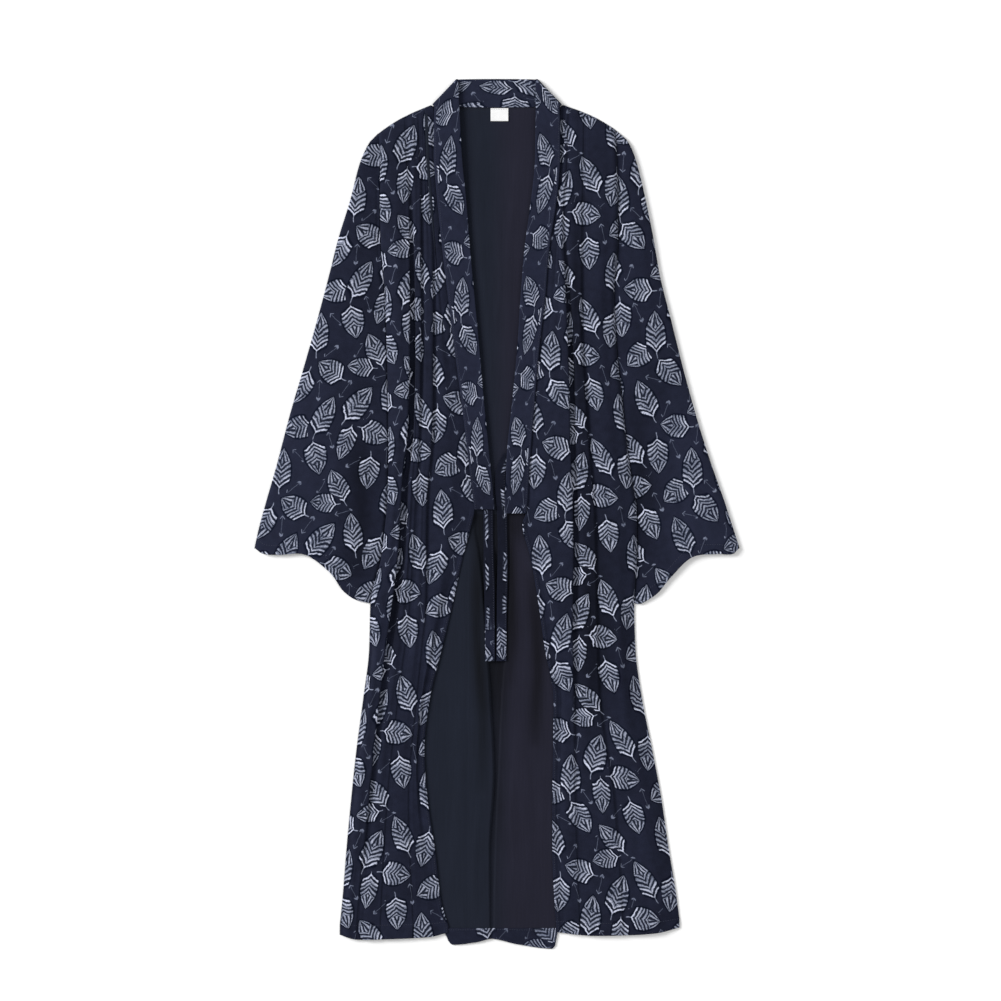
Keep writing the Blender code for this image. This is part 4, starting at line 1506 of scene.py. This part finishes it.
def fold_guides(table, y):
    """Guides of a knife fold, from the lip at its left, back under it, to the floor of the trough.

    With no overlap the same guides run down a plain slope, and between the two they are mixed.
    """
    x, overlap, trough, lip, floor = (column(table, name, y) for name in Fold._fields[1:])
    full = np.clip(overlap / FULL_FOLD, 0, 1)

    def guide(soft_x, soft_share, folded_x, folded_z):
        soft_z = mix(lip - 1.1, floor, soft_share)
        return x + mix(soft_x, folded_x, full), mix(soft_z, folded_z, full)

    return [
        (x - 5.0, lip),
        (x - 2.0, lip - 0.1),
        (x, lip - 1.1),
        guide(0.5, 0.2, -2.2, lip - 2.1),
        guide(1.0, 0.4, -overlap, floor + 2.2),
        guide(1.5, 0.6, -overlap - 1.3, floor + 1.1),
        guide(2.1, 0.8, -overlap + 0.6, floor + 0.15),
        guide(3.2, 1.0, 2.0, floor),
        (x + np.maximum(3.8, 0.72 * trough), floor + 0.3),
    ]


def side_guides(x, y, inward):
    """Guides at the side edge: level below the armhole, and along it a steep roll up from its seam."""
    sewn = ease((y - ARMHOLE_FOOT) / ARMHOLE_BLEND + 0.5)
    z = mix(SIDE_LIP, ARMHOLE_LIP, sewn)
    return [(x + inward * across, z + mix(level, steep, sewn)) for across, level, steep in SIDE_ROLL]


def free_guides(x, y, outward, height, band_end):
    """Guides at the front edge: sewn under the band above its end, a narrow free hem below it."""
    under = ease((y - band_end - 1) / 9)
    guides = []
    for index, ((bare_x, bare_z), (sewn_x, sewn_z)) in enumerate(zip(FREE_HEM, FREE_SEWN)):
        sewn_at = height + sewn_z if index < FREE_SEWN_ON_CLOTH else sewn_z
        guides.append((x + outward * mix(bare_x, sewn_x, under), mix(height + bare_z, sewn_at, under)))
    return guides


def front_guides(y, left, folds, heights, band_end):
    """Guides of every row of a front, from left to right: rows by guides by x and z."""
    tops = [column(heights, name, y) for name in heights[0]._fields if name.startswith("round")]
    if left:
        first = side_guides(body_edge("left_side", y), y, 1)
        last = free_guides(body_edge("left_free", y), y, 1, column(heights, "end", y), band_end)
    else:
        first = free_guides(body_edge("right_free", y), y, -1, column(heights, "start", y), band_end)[::-1]
        last = side_guides(body_edge("right_side", y), y, -1)[::-1]
    guides = list(first)
    for table, top in zip([*folds, None], tops):
        after = fold_guides(table, y) if table else last
        guides += crest(*guides[-1], *after[0], top)
        guides += after
    return np.stack([np.stack(np.broadcast_arrays(x, z), axis=1) for x, z in guides], axis=1)


def hem_height(above, depth, lead):
    """Height that a hem adds at a distance above its edge. Its step starts short of its top by the lead."""
    step = 1 - ease((above - depth + lead) / HEM_STEP_WIDTH)
    dip = np.exp(-(((above - depth + HEM_DIP_WIDTH) / HEM_DIP_WIDTH) ** 2))
    return HEM_STEP * step - HEM_DIP * dip


def front_grid(left, folds, heights, hem, shoulder, band_end):
    """Grid of a front, and its places on the uncut cloth."""
    sizes = cloth_sizes()
    levels = main_levels()
    held = np.maximum(levels, BODY[0].y)
    section = through(front_guides(held, left, folds, heights, band_end), sizes.fold_samples)
    x, z = section[:, :, 0], section[:, :, 1]
    run = run_length(section)
    if not left:
        run = run - run[:, -1:]
    y = follow_hem(levels[:, None], column(hem, "y", x, along="x"))
    free = body_edge("left_free" if left else "right_free", held)[:, None]
    side = body_edge("left_side" if left else "right_side", held)[:, None]
    edge_fade = ease(abs(x - side) / EDGE_FADE) * ease((abs(x - free) - 2) / EDGE_FADE)
    soft = crease_height(FRONT_CREASES, x, y) + waver(x, y)
    z = z + soft * edge_fade + pucker(abs(x - free), y) * ease(abs(x - free) / 4)
    z = z + hem_height((levels - levels[0])[:, None], in_mm(sizes.hem_depth), 1.5)
    body = np.stack([x, y, np.maximum(z, SIDE_LIP)], axis=2)
    points = np.concatenate([body, shoulder_rows(body[-1], shoulder, left)])
    run = np.concatenate([run, np.repeat(run[-1:], len(points) - len(run), axis=0)])
    return points, np.stack([run, points[:, :, 1]], axis=2)


def shoulder_rows(below, shoulder, left):
    """Rows that tilt to the shoulder line, and sink to its seam in a full quarter round."""
    across = (below[:, 0] - below[0, 0]) / (below[-1, 0] - below[0, 0])
    start, end = shoulder if left else shoulder[::-1]
    edge_x = mix(start[0], end[0], across)
    edge_y = mix(start[1], end[1], across) + shoulder_rise(1 - across if left else across)
    rows = []
    for share in SHOULDER_SHARES:
        fullness = math.sqrt(max(0.0, 1 - share**SHOULDER_SQUARE))
        row = np.empty_like(below)
        row[:, 0] = mix(below[:, 0], edge_x, share)
        row[:, 1] = mix(below[:, 1], edge_y, share)
        row[:, 2] = mix(SECOND_LAYER, below[:, 2], fullness)
        rows.append(row)
    return np.array(rows)


def worn_lips(points, normals):
    """How worn each point is: most where the cloth turns over at a lip or along an edge."""
    bend = np.linalg.norm(np.gradient(normals, axis=1), axis=2)
    high = np.clip((points[:, :, 2] - WORN_HEIGHT) / WORN_RISE, 0, 1)
    return np.clip(bend * 0.9, 0, 1) * high * np.clip(normals[:, :, 2] * 1.5, 0, 1)


def painted_shade_by_folds(points, folds):
    """Painted shade on each point of a front: soft bands in the lee of its folds, cut off at its first
    fold's lip.
    """
    x, y = points[:, :, 0], points[:, :, 1]
    beyond = x - column(folds[0], "x", y)
    return np.clip(soft_bands(FRONT_PAINTED_SHADE, x, y), 0, 1) * ease(beyond / 2 + 0.5)


class ROBE_OT_front_panels(bpy.types.Operator):
    """Makes both fronts, each with its long folds from the shoulder, and their hems"""

    bl_idname = "robe.front_panels"
    bl_label = "Front panels"

    def execute(self, context):
        sizes = cloth_sizes()
        left_tables = (LEFT_FOLDS, LEFT_HEIGHTS, LEFT_HEM, LEFT_SHOULDER, LEFT_BAND_END)
        right_tables = (RIGHT_FOLDS, RIGHT_HEIGHTS, RIGHT_HEM, RIGHT_SHOULDER, RIGHT_BAND_END)
        sides = (("Left", "left_front", left_tables), ("Right", "right_front", right_tables))
        for side, node, (folds, heights, hem, shoulder, band_end) in sides:
            left = side == "Left"
            points, flat = front_grid(left, folds, heights, hem, shoulder, band_end)
            normals = normals_of(points)
            worn = worn_lips(points, normals)
            # Painted shade in the lee of the front's folds.
            painted_shade = painted_shade_by_folds(points, folds)
            name = f"{side}_Front_Panel"
            mesh = grid_mesh(name, points, flat + FRONT_BOLT[side], worn, painted_shade=painted_shade)
            piece = add_piece(name, mesh, [printed_cotton(), cotton_reverse()])
            add_wall(piece, sizes.wall)
            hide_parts(node)
            inset = FREE_HEM_SEWN * sizes.fold_samples
            edge = -1 - inset if left else inset
            below_band = points[:, edge, 1] < band_end - FREE_SEAM_GAP
            paths = [
                on_cloth(points[HEM_SEWN], normals[HEM_SEWN], sizes.wall),
                on_cloth(points[below_band, edge], normals[below_band, edge], sizes.wall),
            ]
            seam = stitching(f"{side}_Front_Stitching", paths)
        return {"FINISHED"}


# -------- Sleeves --------

# How far a sleeve's top swells between its edges: a crown, at the cuff and higher up, less a base.
# The swell is full from this width of sleeve on.
CUFF_CROWN = 4.9
SLEEVE_CROWN = 5.6
SLEEVE_CROWN_BASE = 2.4
SLEEVE_FULL_WIDTH = 70.0
# The outer fold: thickness, width of sleeve that it is full from, and the angles of its columns.
SLEEVE_FOLD = 4.0
SLEEVE_FOLD_WIDTH = 20.0
SLEEVE_TURN = (-75, -50, -25, 0, 25, 50, 75)
# Power of the sine that shapes the swell: under 1, it is fuller than a sine.
ROUNDNESS = 0.8
# Rows up from the cuff: close together at its edge and at its sewn line.
CUFF_LEVELS = (0.0, 0.9, 3.0, 8.0, 12.5, 15.6, 16.8, 18.0, 19.2, 21.0, 25.0, 31.0)
CUFF_SEWN = CUFF_LEVELS.index(16.8)
SLEEVE_GAP = 0.15
# Where the sleeve stays low beside the armhole: from and to which y, and how far from the seam.
Dip = namedtuple("Dip", "low high reach")
ARMHOLE_DIPS = {"left_side": Dip(250, 500, 3.5), "right_side": Dip(268, 348, 5.0)}
DIP_BLEND = 25
DIP_SHARE = 0.9
# Wear on the outer fold, and on the outer part of the sleeve: from which x, down from which y.
EDGE_WORN = 0.4
OUTER_WORN = 0.75
OUTER_WORN_X = (225, 50)
OUTER_WORN_Y = (260, 120)
# Where each sleeve lies on the bolt.
SLEEVE_BOLT = {"Left": (11, 47), "Right": (97, 130)}


def beside_armhole(side, y, beside):
    """Share of the swell that a sleeve has at a distance from its armhole's seam."""
    dip = ARMHOLE_DIPS[side]
    within = ease((y - dip.low) / DIP_BLEND + 0.5) * ease((dip.high - y) / DIP_BLEND + 0.5)
    return 1 - DIP_SHARE * within * (1 - ease(beside / dip.reach - 1))


def sleeve_grid(table, cuff, side):
    """Grid of a sleeve, and which of its columns turn round the outer fold.

    Each row runs from the armhole under the sleeve to the outer fold, and back on top.
    """
    sizes = cloth_sizes()
    inward = 1 if side == "left_side" else -1
    foot = table[-1].inner_y
    low_levels = foot + np.array(CUFF_LEVELS)
    levels = np.append(low_levels, evenly(low_levels[-1], table[0].inner_y, in_mm(sizes.row_step))[1:])
    turn = np.radians(SLEEVE_TURN)
    under = 1 - evenly(0, 0.94, 0.05)
    upper = np.append(evenly(0.05, 0.97, 0.022), 1.0)
    across = np.concatenate([under, np.zeros(len(turn)), upper])
    turned = slice(len(under), len(under) + len(turn))
    on_top = slice(-len(upper), None)
    inner_y = levels[:, None]
    outer_x = column(table, "outer_x", inner_y, along="inner_y")
    outer_y = column(table, "outer_y", inner_y, along="inner_y")
    inner_x = body_edge(side, inner_y) - inward * SLEEVE_GAP
    width = abs(inner_x - outer_x)
    radius = SLEEVE_FOLD / 2 * np.minimum(1, width / SLEEVE_FOLD_WIDTH)
    x = mix(outer_x, inner_x, across)
    x[:, turned] += inward * radius * (1 - np.cos(turn))
    above_cuff = inner_y - foot
    up_sleeve = above_cuff / CUFF_REACH
    y = mix(outer_y, inner_y, across) + column(cuff, "rise", across, along="across") * ease(1 - up_sleeve)
    top_x, top_y = x[:, on_top], y[:, on_top]
    beside = abs(top_x - inner_x)
    swell = np.sin(math.pi * np.clip(upper, 0, 1)) ** ROUNDNESS * beside_armhole(side, inner_y, beside)
    crown = mix(CUFF_CROWN, SLEEVE_CROWN, ease(up_sleeve)) - SLEEVE_CROWN_BASE
    low = mix(FLOOR_LAYER + 2 * radius, ARMHOLE_LIP, ease(upper))
    top = low + crown * swell * np.minimum(1, width / SLEEVE_FULL_WIDTH)
    soft = crease_height(SLEEVE_CREASES, top_x, top_y) + waver(top_x, top_y)
    soft = soft * swell**2 + pucker(beside, top_y) * ease((1 - upper) / 0.06)
    soft = soft + hem_height(above_cuff, in_mm(sizes.cuff_depth), 1.2)
    z = np.full_like(x, FLOOR_LAYER)
    z[:, turned] = FLOOR_LAYER + radius * (1 + np.sin(turn))
    z[:, on_top] = np.maximum(top + soft, ARMHOLE_LIP - 0.2)
    return np.stack([x, y, z], axis=2), turned


def sleeve_flat(points, turned, table):
    """Places on the uncut cloth: the flat sleeve turned upright, its under layer folded out."""
    high, low = table[4], table[-1]
    slant = math.atan2(low.outer_x - high.outer_x, high.outer_y - low.outer_y)
    turn_x = points[:, :, 0] * math.cos(slant) + points[:, :, 1] * math.sin(slant)
    turn_y = points[:, :, 1] * math.cos(slant) - points[:, :, 0] * math.sin(slant)
    fold = turn_x[:, turned].mean(axis=1, keepdims=True)
    beneath = np.arange(points.shape[1]) < (turned.start + turned.stop) // 2
    return np.stack([np.where(beneath, 2 * fold - turn_x, turn_x), turn_y], axis=2)


class ROBE_OT_sleeves(bpy.types.Operator):
    """Makes both sleeves, flat tubes folded along their outer edges, open at cuff and armhole"""

    bl_idname = "robe.sleeves"
    bl_label = "Sleeves"

    def execute(self, context):
        sizes = cloth_sizes()
        sides = (
            ("Left", "left_sleeve", LEFT_SLEEVE, LEFT_CUFF, "left_side"),
            ("Right", "right_sleeve", RIGHT_SLEEVE, RIGHT_CUFF, "right_side"),
        )
        for side, node, table, cuff, edge in sides:
            points, turned = sleeve_grid(table, cuff, edge)
            flat = sleeve_flat(points, turned, table) + SLEEVE_BOLT[side]
            if side == "Right":
                # Rows run from left to right here, so that faces look outward as at the left.
                points = points[:, ::-1]
                flat = flat[:, ::-1]
            normals = normals_of(points)
            x, y, z = points.transpose(2, 0, 1)
            on_edge = np.exp(-((z - 2.5) ** 2)) * (abs(normals[:, :, 2]) < 0.5)
            from_x, over_x = OUTER_WORN_X
            from_y, over_y = OUTER_WORN_Y
            outer = ease((abs(x) - from_x) / over_x) * ease((from_y - y) / over_y)
            worn = worn_lips(points, normals) + EDGE_WORN * on_edge + OUTER_WORN * outer
            # Painted shade on the sleeve beside its armhole.
            painted_shade = np.clip(soft_bands(SLEEVE_PAINTED_SHADE, x, y), 0, 1)
            name = f"{side}_Sleeve_Cloth"
            mesh = grid_mesh(name, points, flat, np.clip(worn, 0, 1), painted_shade=painted_shade)
            piece = add_piece(name, mesh, [printed_cotton(), cotton_reverse()])
            add_wall(piece, sizes.wall)
            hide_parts(node)
            row, up = points[CUFF_SEWN], normals[CUFF_SEWN]
            on_top = up[:, 2] > 0.3
            seam = stitching(f"{side}_Sleeve_Stitching", [on_cloth(row[on_top], up[on_top], sizes.wall)])
        return {"FINISHED"}


# -------- Collar band, ties and label --------

# Points from one of the band's guides to the next, and the guides' angles as it turns over.
BAND_SAMPLES = 7
TURN_ANGLES = (30, 60, 90, 120, 150, 180)
# Distance of the turn's axis inside the fold line.
BAND_AXIS_INSET = 4.2
# A strip: angles of the points on its rounded edges, and how far its faces swell between them.
TUBE_CAP_ANGLES = (60, 20, -20, -60)
TUBE_SWELL = 0.12
# Its ends: where the added rows lie between the first two, and the shares of its full wall.
END_SHARES = (0.1, 0.3)
END_WALLS = (0.35, 0.8, 0.97)
# The collar band: columns over it, the one that is sewn, and its place on the bolt.
COLLAR_COLUMNS = 21
COLLAR_SEAM_COLUMN = 1
COLLAR_BOLT = (33, 12)
# Its wear along its edges and beneath, and what is added up to the neck: from which y, over what
# distance.
COLLAR_WORN = 0.3
COLLAR_NECK_WORN = 0.8
COLLAR_WORN_Y = (40, 100)
# A tie: columns over it, the one that is sewn, and its gap over the back.
TIE_COLUMNS = 11
TIE_SEAM_COLUMN = TIE_COLUMNS - 2
TIE_GAP = 0.15
TIE_ROW_STEP = 5.0
# Where each tie lies on the bolt. It keeps its print in a strip along it, between these shares of
# its width, and over this length at its end.
TIE_BOLT = {"Left": (20, 30), "Right": (140, 30)}
TIE_INKED = {"Left": (0.20, 0.46), "Right": (0.60, 0.88)}
TIE_INKED_END = 58.0
# Its wear, its painted shade toward the band's ends, and from which y, over what distance.
TIE_WORN = 0.2
TIE_PAINTED_SHADE = 0.85
TIE_PAINTED_SHADE_Y = (-190, 60)
# The label: distances of its outer points from its ends, the step between the others, and its gap.
LABEL_EDGE = (0.0, 0.5, 2.0)
LABEL_STEP = 1.5
LABEL_GAP = 0.9


def turn_away(turn):
    """Unit direction, level, from the robe out over the fold line."""
    outer, inner = np.array(turn, float)
    along = (inner - outer) / np.linalg.norm(inner - outer)
    sideways = np.array([-along[1], along[0]])
    return sideways * np.sign(sideways[1])


def turn_axis(turn):
    """The line about which the band turns over: inside the fold line by the turn's outer radius."""
    return np.array(turn, float) - turn_away(turn) * BAND_AXIS_INSET


def band_arm(seam_name, inner_name, end, turn):
    """Guides of one arm, from its blunt end round the turn: seam x and y, free x and y, z, angle."""
    inward = 1 if seam_name == "left_free" else -1
    guides = []
    for y in [end, end + 20, *(row.y for row in COLLAR[1:-1])]:
        seam_x = body_edge(seam_name, y) + inward * 0.2
        free_x = float(column(COLLAR, inner_name, y))
        risen = ease((y - BAND_RISE_START) / BAND_RISE_LENGTH)
        guides.append([seam_x, y, free_x, y, mix(BAND_ARM, BAND_NECK, risen), 0])
    ends = np.array(guides[-1][:4]).reshape(2, 2)
    axis = turn_axis(turn)
    for share in (0.25, 0.5, 0.75, 1.0):
        guides.append([*mix(ends, axis, share).ravel(), BAND_NECK, 0])
    middle = (BAND_NECK + BAND_BACK) / 2
    for angle in np.radians(TURN_ANGLES):
        place = axis + turn_away(turn) * TURN_RADIUS * math.sin(angle)
        place[1, 1] += (NECK_TOP - axis[1, 1]) * max(-math.cos(angle), 0)
        guides.append([*place.ravel(), middle + TURN_RADIUS * math.cos(angle), angle])
    return guides


def band_back():
    """Guides of the stretch behind the neck, flat on the ground with the inner face up."""
    left = turn_axis(LEFT_TURN)
    right = turn_axis(RIGHT_TURN)
    guides = []
    for part in np.linspace(0, 1, 15)[1:-1]:
        low, high = mix(left, right, part)
        settled = ease(4 * min(part, 1 - part))
        low_y = max(mix(low[1], neck_seam(low[0]), settled), neck_seam(low[0]))
        crown = NECK_TOP + NECK_TOP_RISE * (1 - (2 * part - 1) ** 2)
        guides.append([low[0], low_y, high[0], crown, BAND_BACK, math.pi])
    return guides


def tube_sections(seams, frees, ups, wall, columns):
    """Rings of a flat closed strip: over its upper face, round its free edge, beneath, round again.

    seams and frees are its edges, ups the direction of its upper face, wall its thickness in each
    row. The edges are half circles, and the faces swell a little between them.
    """
    across = frees - seams
    width = np.linalg.norm(across, axis=1, keepdims=True)
    sideways = across / width
    middle = (seams + frees) / 2
    radius = wall[:, None] / 2
    share = np.linspace(-1, 1, columns)
    reach = (width / 2 - radius) * share
    swell = radius * (1 + TUBE_SWELL * (1 - share**4))
    cap = np.radians(TUBE_CAP_ANGLES)
    cap_reach = width / 2 - radius + radius * np.cos(cap)
    cap_rise = radius * np.sin(cap)
    offs = np.concatenate([reach, cap_reach, reach[:, ::-1], -cap_reach[:, ::-1]], axis=1)
    lifts = np.concatenate([swell, cap_rise, -swell[:, ::-1], cap_rise[:, ::-1]], axis=1)
    return middle[:, None] + sideways[:, None] * offs[:, :, None] + ups[:, None] * lifts[:, :, None]


def tube_flat(rings, columns, offset):
    """Places on the uncut cloth: distance round the strip, and distance along its middle."""
    closed = np.concatenate([rings, rings[:, :1]], axis=1)
    middle = (rings[:, 0] + rings[:, columns - 1]) / 2
    along = run_length(middle[None])[0]
    around = np.broadcast_to(run_length(closed[len(rings) // 3][None])[0], closed.shape[:2])
    return np.stack([around, np.broadcast_to(along[:, None], closed.shape[:2])], axis=2) + offset


def with_round_ends(seams, frees, ups, wall):
    """A strip's edges, ups and walls, with two more rows at each end, where the wall grows to full."""

    def grown(values):
        first = [mix(values[0], values[1], share) for share in END_SHARES]
        last = [mix(values[-1], values[-2], share) for share in END_SHARES[::-1]]
        return np.concatenate([values[:1], first, values[1:-1], last, values[-1:]])

    walls = np.full(len(seams) + 2 * len(END_SHARES), float(wall))
    walls[: len(END_WALLS)] *= END_WALLS
    walls[-len(END_WALLS) :] *= END_WALLS[::-1]
    return grown(seams), grown(frees), grown(ups), walls


class ROBE_OT_collar_band(bpy.types.Operator):
    """Makes the collar band, one doubled strip down both fronts and round the back of the neck"""

    bl_idname = "robe.collar_band"
    bl_label = "Collar band"

    def execute(self, context):
        sizes = cloth_sizes()
        left = band_arm("left_free", "left_inner", LEFT_BAND_END, LEFT_TURN)
        right = band_arm("right_free", "right_inner", RIGHT_BAND_END, RIGHT_TURN)
        guides = np.array(left + band_back() + right[::-1], float)
        rows = through(guides[None], BAND_SAMPLES)[0]
        angle = rows[:, 5]
        outward = np.where((rows[:, 0] < 0)[:, None], turn_away(LEFT_TURN), turn_away(RIGHT_TURN))
        ups = np.column_stack([outward * np.sin(angle)[:, None], np.cos(angle)])
        edges = with_round_ends(rows[:, [0, 1, 4]], rows[:, [2, 3, 4]], ups, in_mm(sizes.band_wall))
        rings = tube_sections(*edges, COLLAR_COLUMNS)
        flat = tube_flat(rings, COLLAR_COLUMNS, COLLAR_BOLT)
        x, y = rings[:, :, 0], rings[:, :, 1]
        rings[:, :, 2] += 0.5 * waver(1.6 * x, 1.3 * y) * ease((NECK_SEAM - y) / 40)
        worn = np.full(rings.shape[:2], COLLAR_WORN)
        worn[:, :COLLAR_COLUMNS] = COLLAR_WORN * np.abs(np.linspace(-1, 1, COLLAR_COLUMNS)) ** 12
        worn = np.clip(worn + COLLAR_NECK_WORN * ease((y - COLLAR_WORN_Y[0]) / COLLAR_WORN_Y[1]), 0, 1)
        # The edge along the seam shows no print.
        bare = np.zeros(rings.shape[:2])
        bare[:, [*range(-len(TUBE_CAP_ANGLES), 0), 0, 1]] = 1
        mesh = grid_mesh("Collar_Band_Cloth", rings, flat, worn, bare=bare, closed_round=True, capped=True)
        piece = add_piece("Collar_Band_Cloth", mesh, [printed_cotton()])
        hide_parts("collar_band")
        on_arms = edges[2][:, 2] > 0.999
        paths = []
        for part in (on_arms & (x[:, 0] < 0), on_arms & (x[:, 0] > 0)):
            points = rings[part, COLLAR_SEAM_COLUMN]
            paths.append((points + edges[2][part] * THREAD_LIFT, edges[2][part]))
        seam = stitching("Collar_Band_Stitching", paths)
        return {"FINISHED"}


class ROBE_OT_ties(bpy.types.Operator):
    """Makes both ties, narrow folded strips from under the band down the inside of the back"""

    bl_idname = "robe.ties"
    bl_label = "Ties"

    def execute(self, context):
        sizes = cloth_sizes()
        wall = in_mm(sizes.tie_wall)
        for side, node, x_name in (("Left", "left_tie", "left_x"), ("Right", "right_tie", "right_x")):
            table = [row for row in TIES if getattr(row, x_name) is not None]
            # From its lower end up, so that faces look outward as on the left arm of the band.
            y = evenly(table[-1].y, table[0].y, TIE_ROW_STEP)
            x = column(table, x_name, y)
            around = np.linspace(-TIE_WIDTH, TIE_WIDTH, 18)
            beneath = back_surface(x[:, None] + around, y[:, None] + 0 * around).max(axis=1)
            z = beneath + in_mm(sizes.wall) / 2 + TIE_GAP + wall / 2 + 0.25 * (1 + np.sin(y / 19))
            half = TIE_WIDTH / 2 + 0.3 * np.sin(y / 23)
            seams = np.column_stack([x - half, y, z])
            frees = np.column_stack([x + half, y, z])
            ups = np.zeros_like(seams) + (0.0, 0.0, 1.0)
            edges = with_round_ends(seams, frees, ups, wall)
            rings = tube_sections(*edges, TIE_COLUMNS)
            flat = tube_flat(rings, TIE_COLUMNS, TIE_BOLT[side])
            ring_y = rings[:, :, 1]
            share = (rings[:, :, 0] - edges[0][:, None, 0]) / TIE_WIDTH
            low, high = TIE_INKED[side]
            inked = ease((share - low) / 0.1 + 0.5) * ease((high - share) / 0.1 + 0.5)
            inked = np.maximum(inked, ease((table[-1].y + TIE_INKED_END - ring_y) / 25))
            worn = np.full(ring_y.shape, TIE_WORN)
            # Painted shade on the tie toward the band's ends.
            painted_shade = TIE_PAINTED_SHADE * ease((ring_y - TIE_PAINTED_SHADE_Y[0]) / TIE_PAINTED_SHADE_Y[1])
            name = f"{side}_Tie_Strip"
            mesh = grid_mesh(name, rings, flat, worn, 1 - inked, painted_shade, closed_round=True, capped=True)
            piece = add_piece(name, mesh, [printed_cotton()])
            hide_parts(node)
            path = (rings[:, TIE_SEAM_COLUMN] + edges[2] * THREAD_LIFT, edges[2])
            seam = stitching(f"{side}_Tie_Stitching", [path])
        return {"FINISHED"}


class ROBE_OT_neck_label(bpy.types.Operator):
    """Makes the small blank label, sewn in along its top below the back neck seam"""

    bl_idname = "robe.neck_label"
    bl_label = "Neck label"

    def execute(self, context):
        sizes = cloth_sizes()
        left = LABEL_LEFT + np.array(LABEL_EDGE)
        right = LABEL_LEFT + LABEL_RIGHT - left[::-1]
        x = np.concatenate([left, evenly(left[-1], right[0], LABEL_STEP)[1:-1], right])
        x, y = np.meshgrid(x, evenly(LABEL_LOWER, LABEL_UPPER, LABEL_STEP))
        lift = ease((LABEL_UPPER - y) / (LABEL_UPPER - LABEL_LOWER))
        beside = (2 * x - LABEL_LEFT - LABEL_RIGHT) / (LABEL_RIGHT - LABEL_LEFT)
        z = back_surface(x, y) + LABEL_GAP + lift * (0.25 + 0.5 * beside**2) + 0.08 * np.sin(x / 3.1)
        points = np.stack([x, y, z], axis=2)
        mesh = grid_mesh("Neck_Label_Tape", points, points[:, :, :2])
        piece = add_piece("Neck_Label_Tape", mesh, [label_tape(), label_tape()])
        add_wall(piece, sizes.label_wall)
        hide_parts("neck_label")
        path = on_cloth(points[-2, 1:-1], normals_of(points)[-2, 1:-1], sizes.label_wall)
        seam = stitching("Neck_Label_Stitching", [path])
        return {"FINISHED"}


# -------- Stage --------

# In metres: the floor's size and how far it lies below the robe, and each lamp's place and size.
FLOOR_SIZE = 14.0
FLOOR_DROP = 0.0004
KEY_LAMP = ((-5.2, 2.1, 3.3), 3.0)
FILL_LAMP = ((1.9, -0.9, 2.6), 2.5)


def add_lamp(name, place, size, power):
    """A square soft lamp that faces the middle of the robe."""
    lamp = bpy.data.lights.new(name, "AREA")
    lamp.size = size
    lamp.energy = power
    shown = bpy.data.objects.new(name, lamp)
    bpy.context.scene.collection.objects.link(shown)
    shown.location = place
    x, y, z = place
    shown.rotation_euler = (math.atan2(math.hypot(x, y), z), 0, math.atan2(y, x) + math.pi / 2)


class ROBE_OT_stage(bpy.types.Operator):
    """Makes a pale floor, soft light, and a camera that looks straight down on the robe"""

    bl_idname = "robe.stage"
    bl_label = "Stage"

    def execute(self, context):
        scene = bpy.context.scene
        stage = scene.robe_stage
        half = FLOOR_SIZE / 2
        corners = [(x * half, y * half, -FLOOR_DROP) for x, y in ((-1, -1), (1, -1), (1, 1), (-1, 1))]
        ground = bpy.data.meshes.new("Floor")
        ground.from_pydata(corners, [], [(0, 1, 2, 3)])
        ground.materials.append(floor_material())
        floor = bpy.data.objects.new("Floor", ground)
        scene.collection.objects.link(floor)
        world = bpy.data.worlds.new("Studio")
        world.use_nodes = True
        sky = world.node_tree.nodes["Background"].inputs
        sky["Color"].default_value = (1.0, 1.0, 1.0, 1.0)
        sky["Strength"].default_value = stage.world_light
        scene.world = world
        add_lamp("Key", *KEY_LAMP, stage.key_power)
        add_lamp("Fill", *FILL_LAMP, stage.fill_power)
        camera = bpy.data.cameras.new("Camera")
        camera.lens = stage.lens
        shown = bpy.data.objects.new("Camera", camera)
        shown.location = (stage.camera_x, stage.camera_y, stage.camera_height)
        scene.collection.objects.link(shown)
        scene.camera = shown
        scene.view_settings.view_transform = "Standard"
        return {"FINISHED"}


# -------- Panel and registration --------

GROUPS = {
    "robe_cloth": RobeCloth,
    "robe_thread": RobeThread,
    "robe_colours": RobeColours,
    "robe_stage": RobeStage,
}
STEPS = (
    ROBE_OT_back_panel,
    ROBE_OT_hem_turnup,
    ROBE_OT_front_panels,
    ROBE_OT_sleeves,
    ROBE_OT_collar_band,
    ROBE_OT_ties,
    ROBE_OT_neck_label,
    ROBE_OT_stage,
)


class ROBE_PT_panel(bpy.types.Panel):
    """Lists the sizes and colours of the robe, and the steps that make it"""

    bl_idname = "ROBE_PT_panel"
    bl_label = "Cotton yukata robe"
    bl_space_type = "VIEW_3D"
    bl_region_type = "UI"
    bl_category = "Robe"

    def draw(self, context):
        for group in GROUPS:
            box = self.layout.box()
            settings = getattr(context.scene, group)
            for name in settings.bl_rna.properties.keys():
                if name not in ("rna_type", "name"):
                    box.prop(settings, name)
        for step in STEPS:
            self.layout.operator(step.bl_idname)


def register():
    for made in (*GROUPS.values(), *STEPS, ROBE_PT_panel):
        bpy.utils.register_class(made)
    for name, group in GROUPS.items():
        setattr(bpy.types.Scene, name, bpy.props.PointerProperty(type=group))


def unregister():
    for name in GROUPS:
        delattr(bpy.types.Scene, name)
    for made in reversed((*GROUPS.values(), *STEPS, ROBE_PT_panel)):
        bpy.utils.unregister_class(made)


def main():
    register()
    bpy.ops.robe.back_panel()
    bpy.ops.robe.hem_turnup()
    bpy.ops.robe.front_panels()
    bpy.ops.robe.sleeves()
    bpy.ops.robe.collar_band()
    bpy.ops.robe.ties()
    bpy.ops.robe.neck_label()
    bpy.ops.robe.stage()
    bpy.context.view_layer.update()


if __name__ == "__main__":
    main()
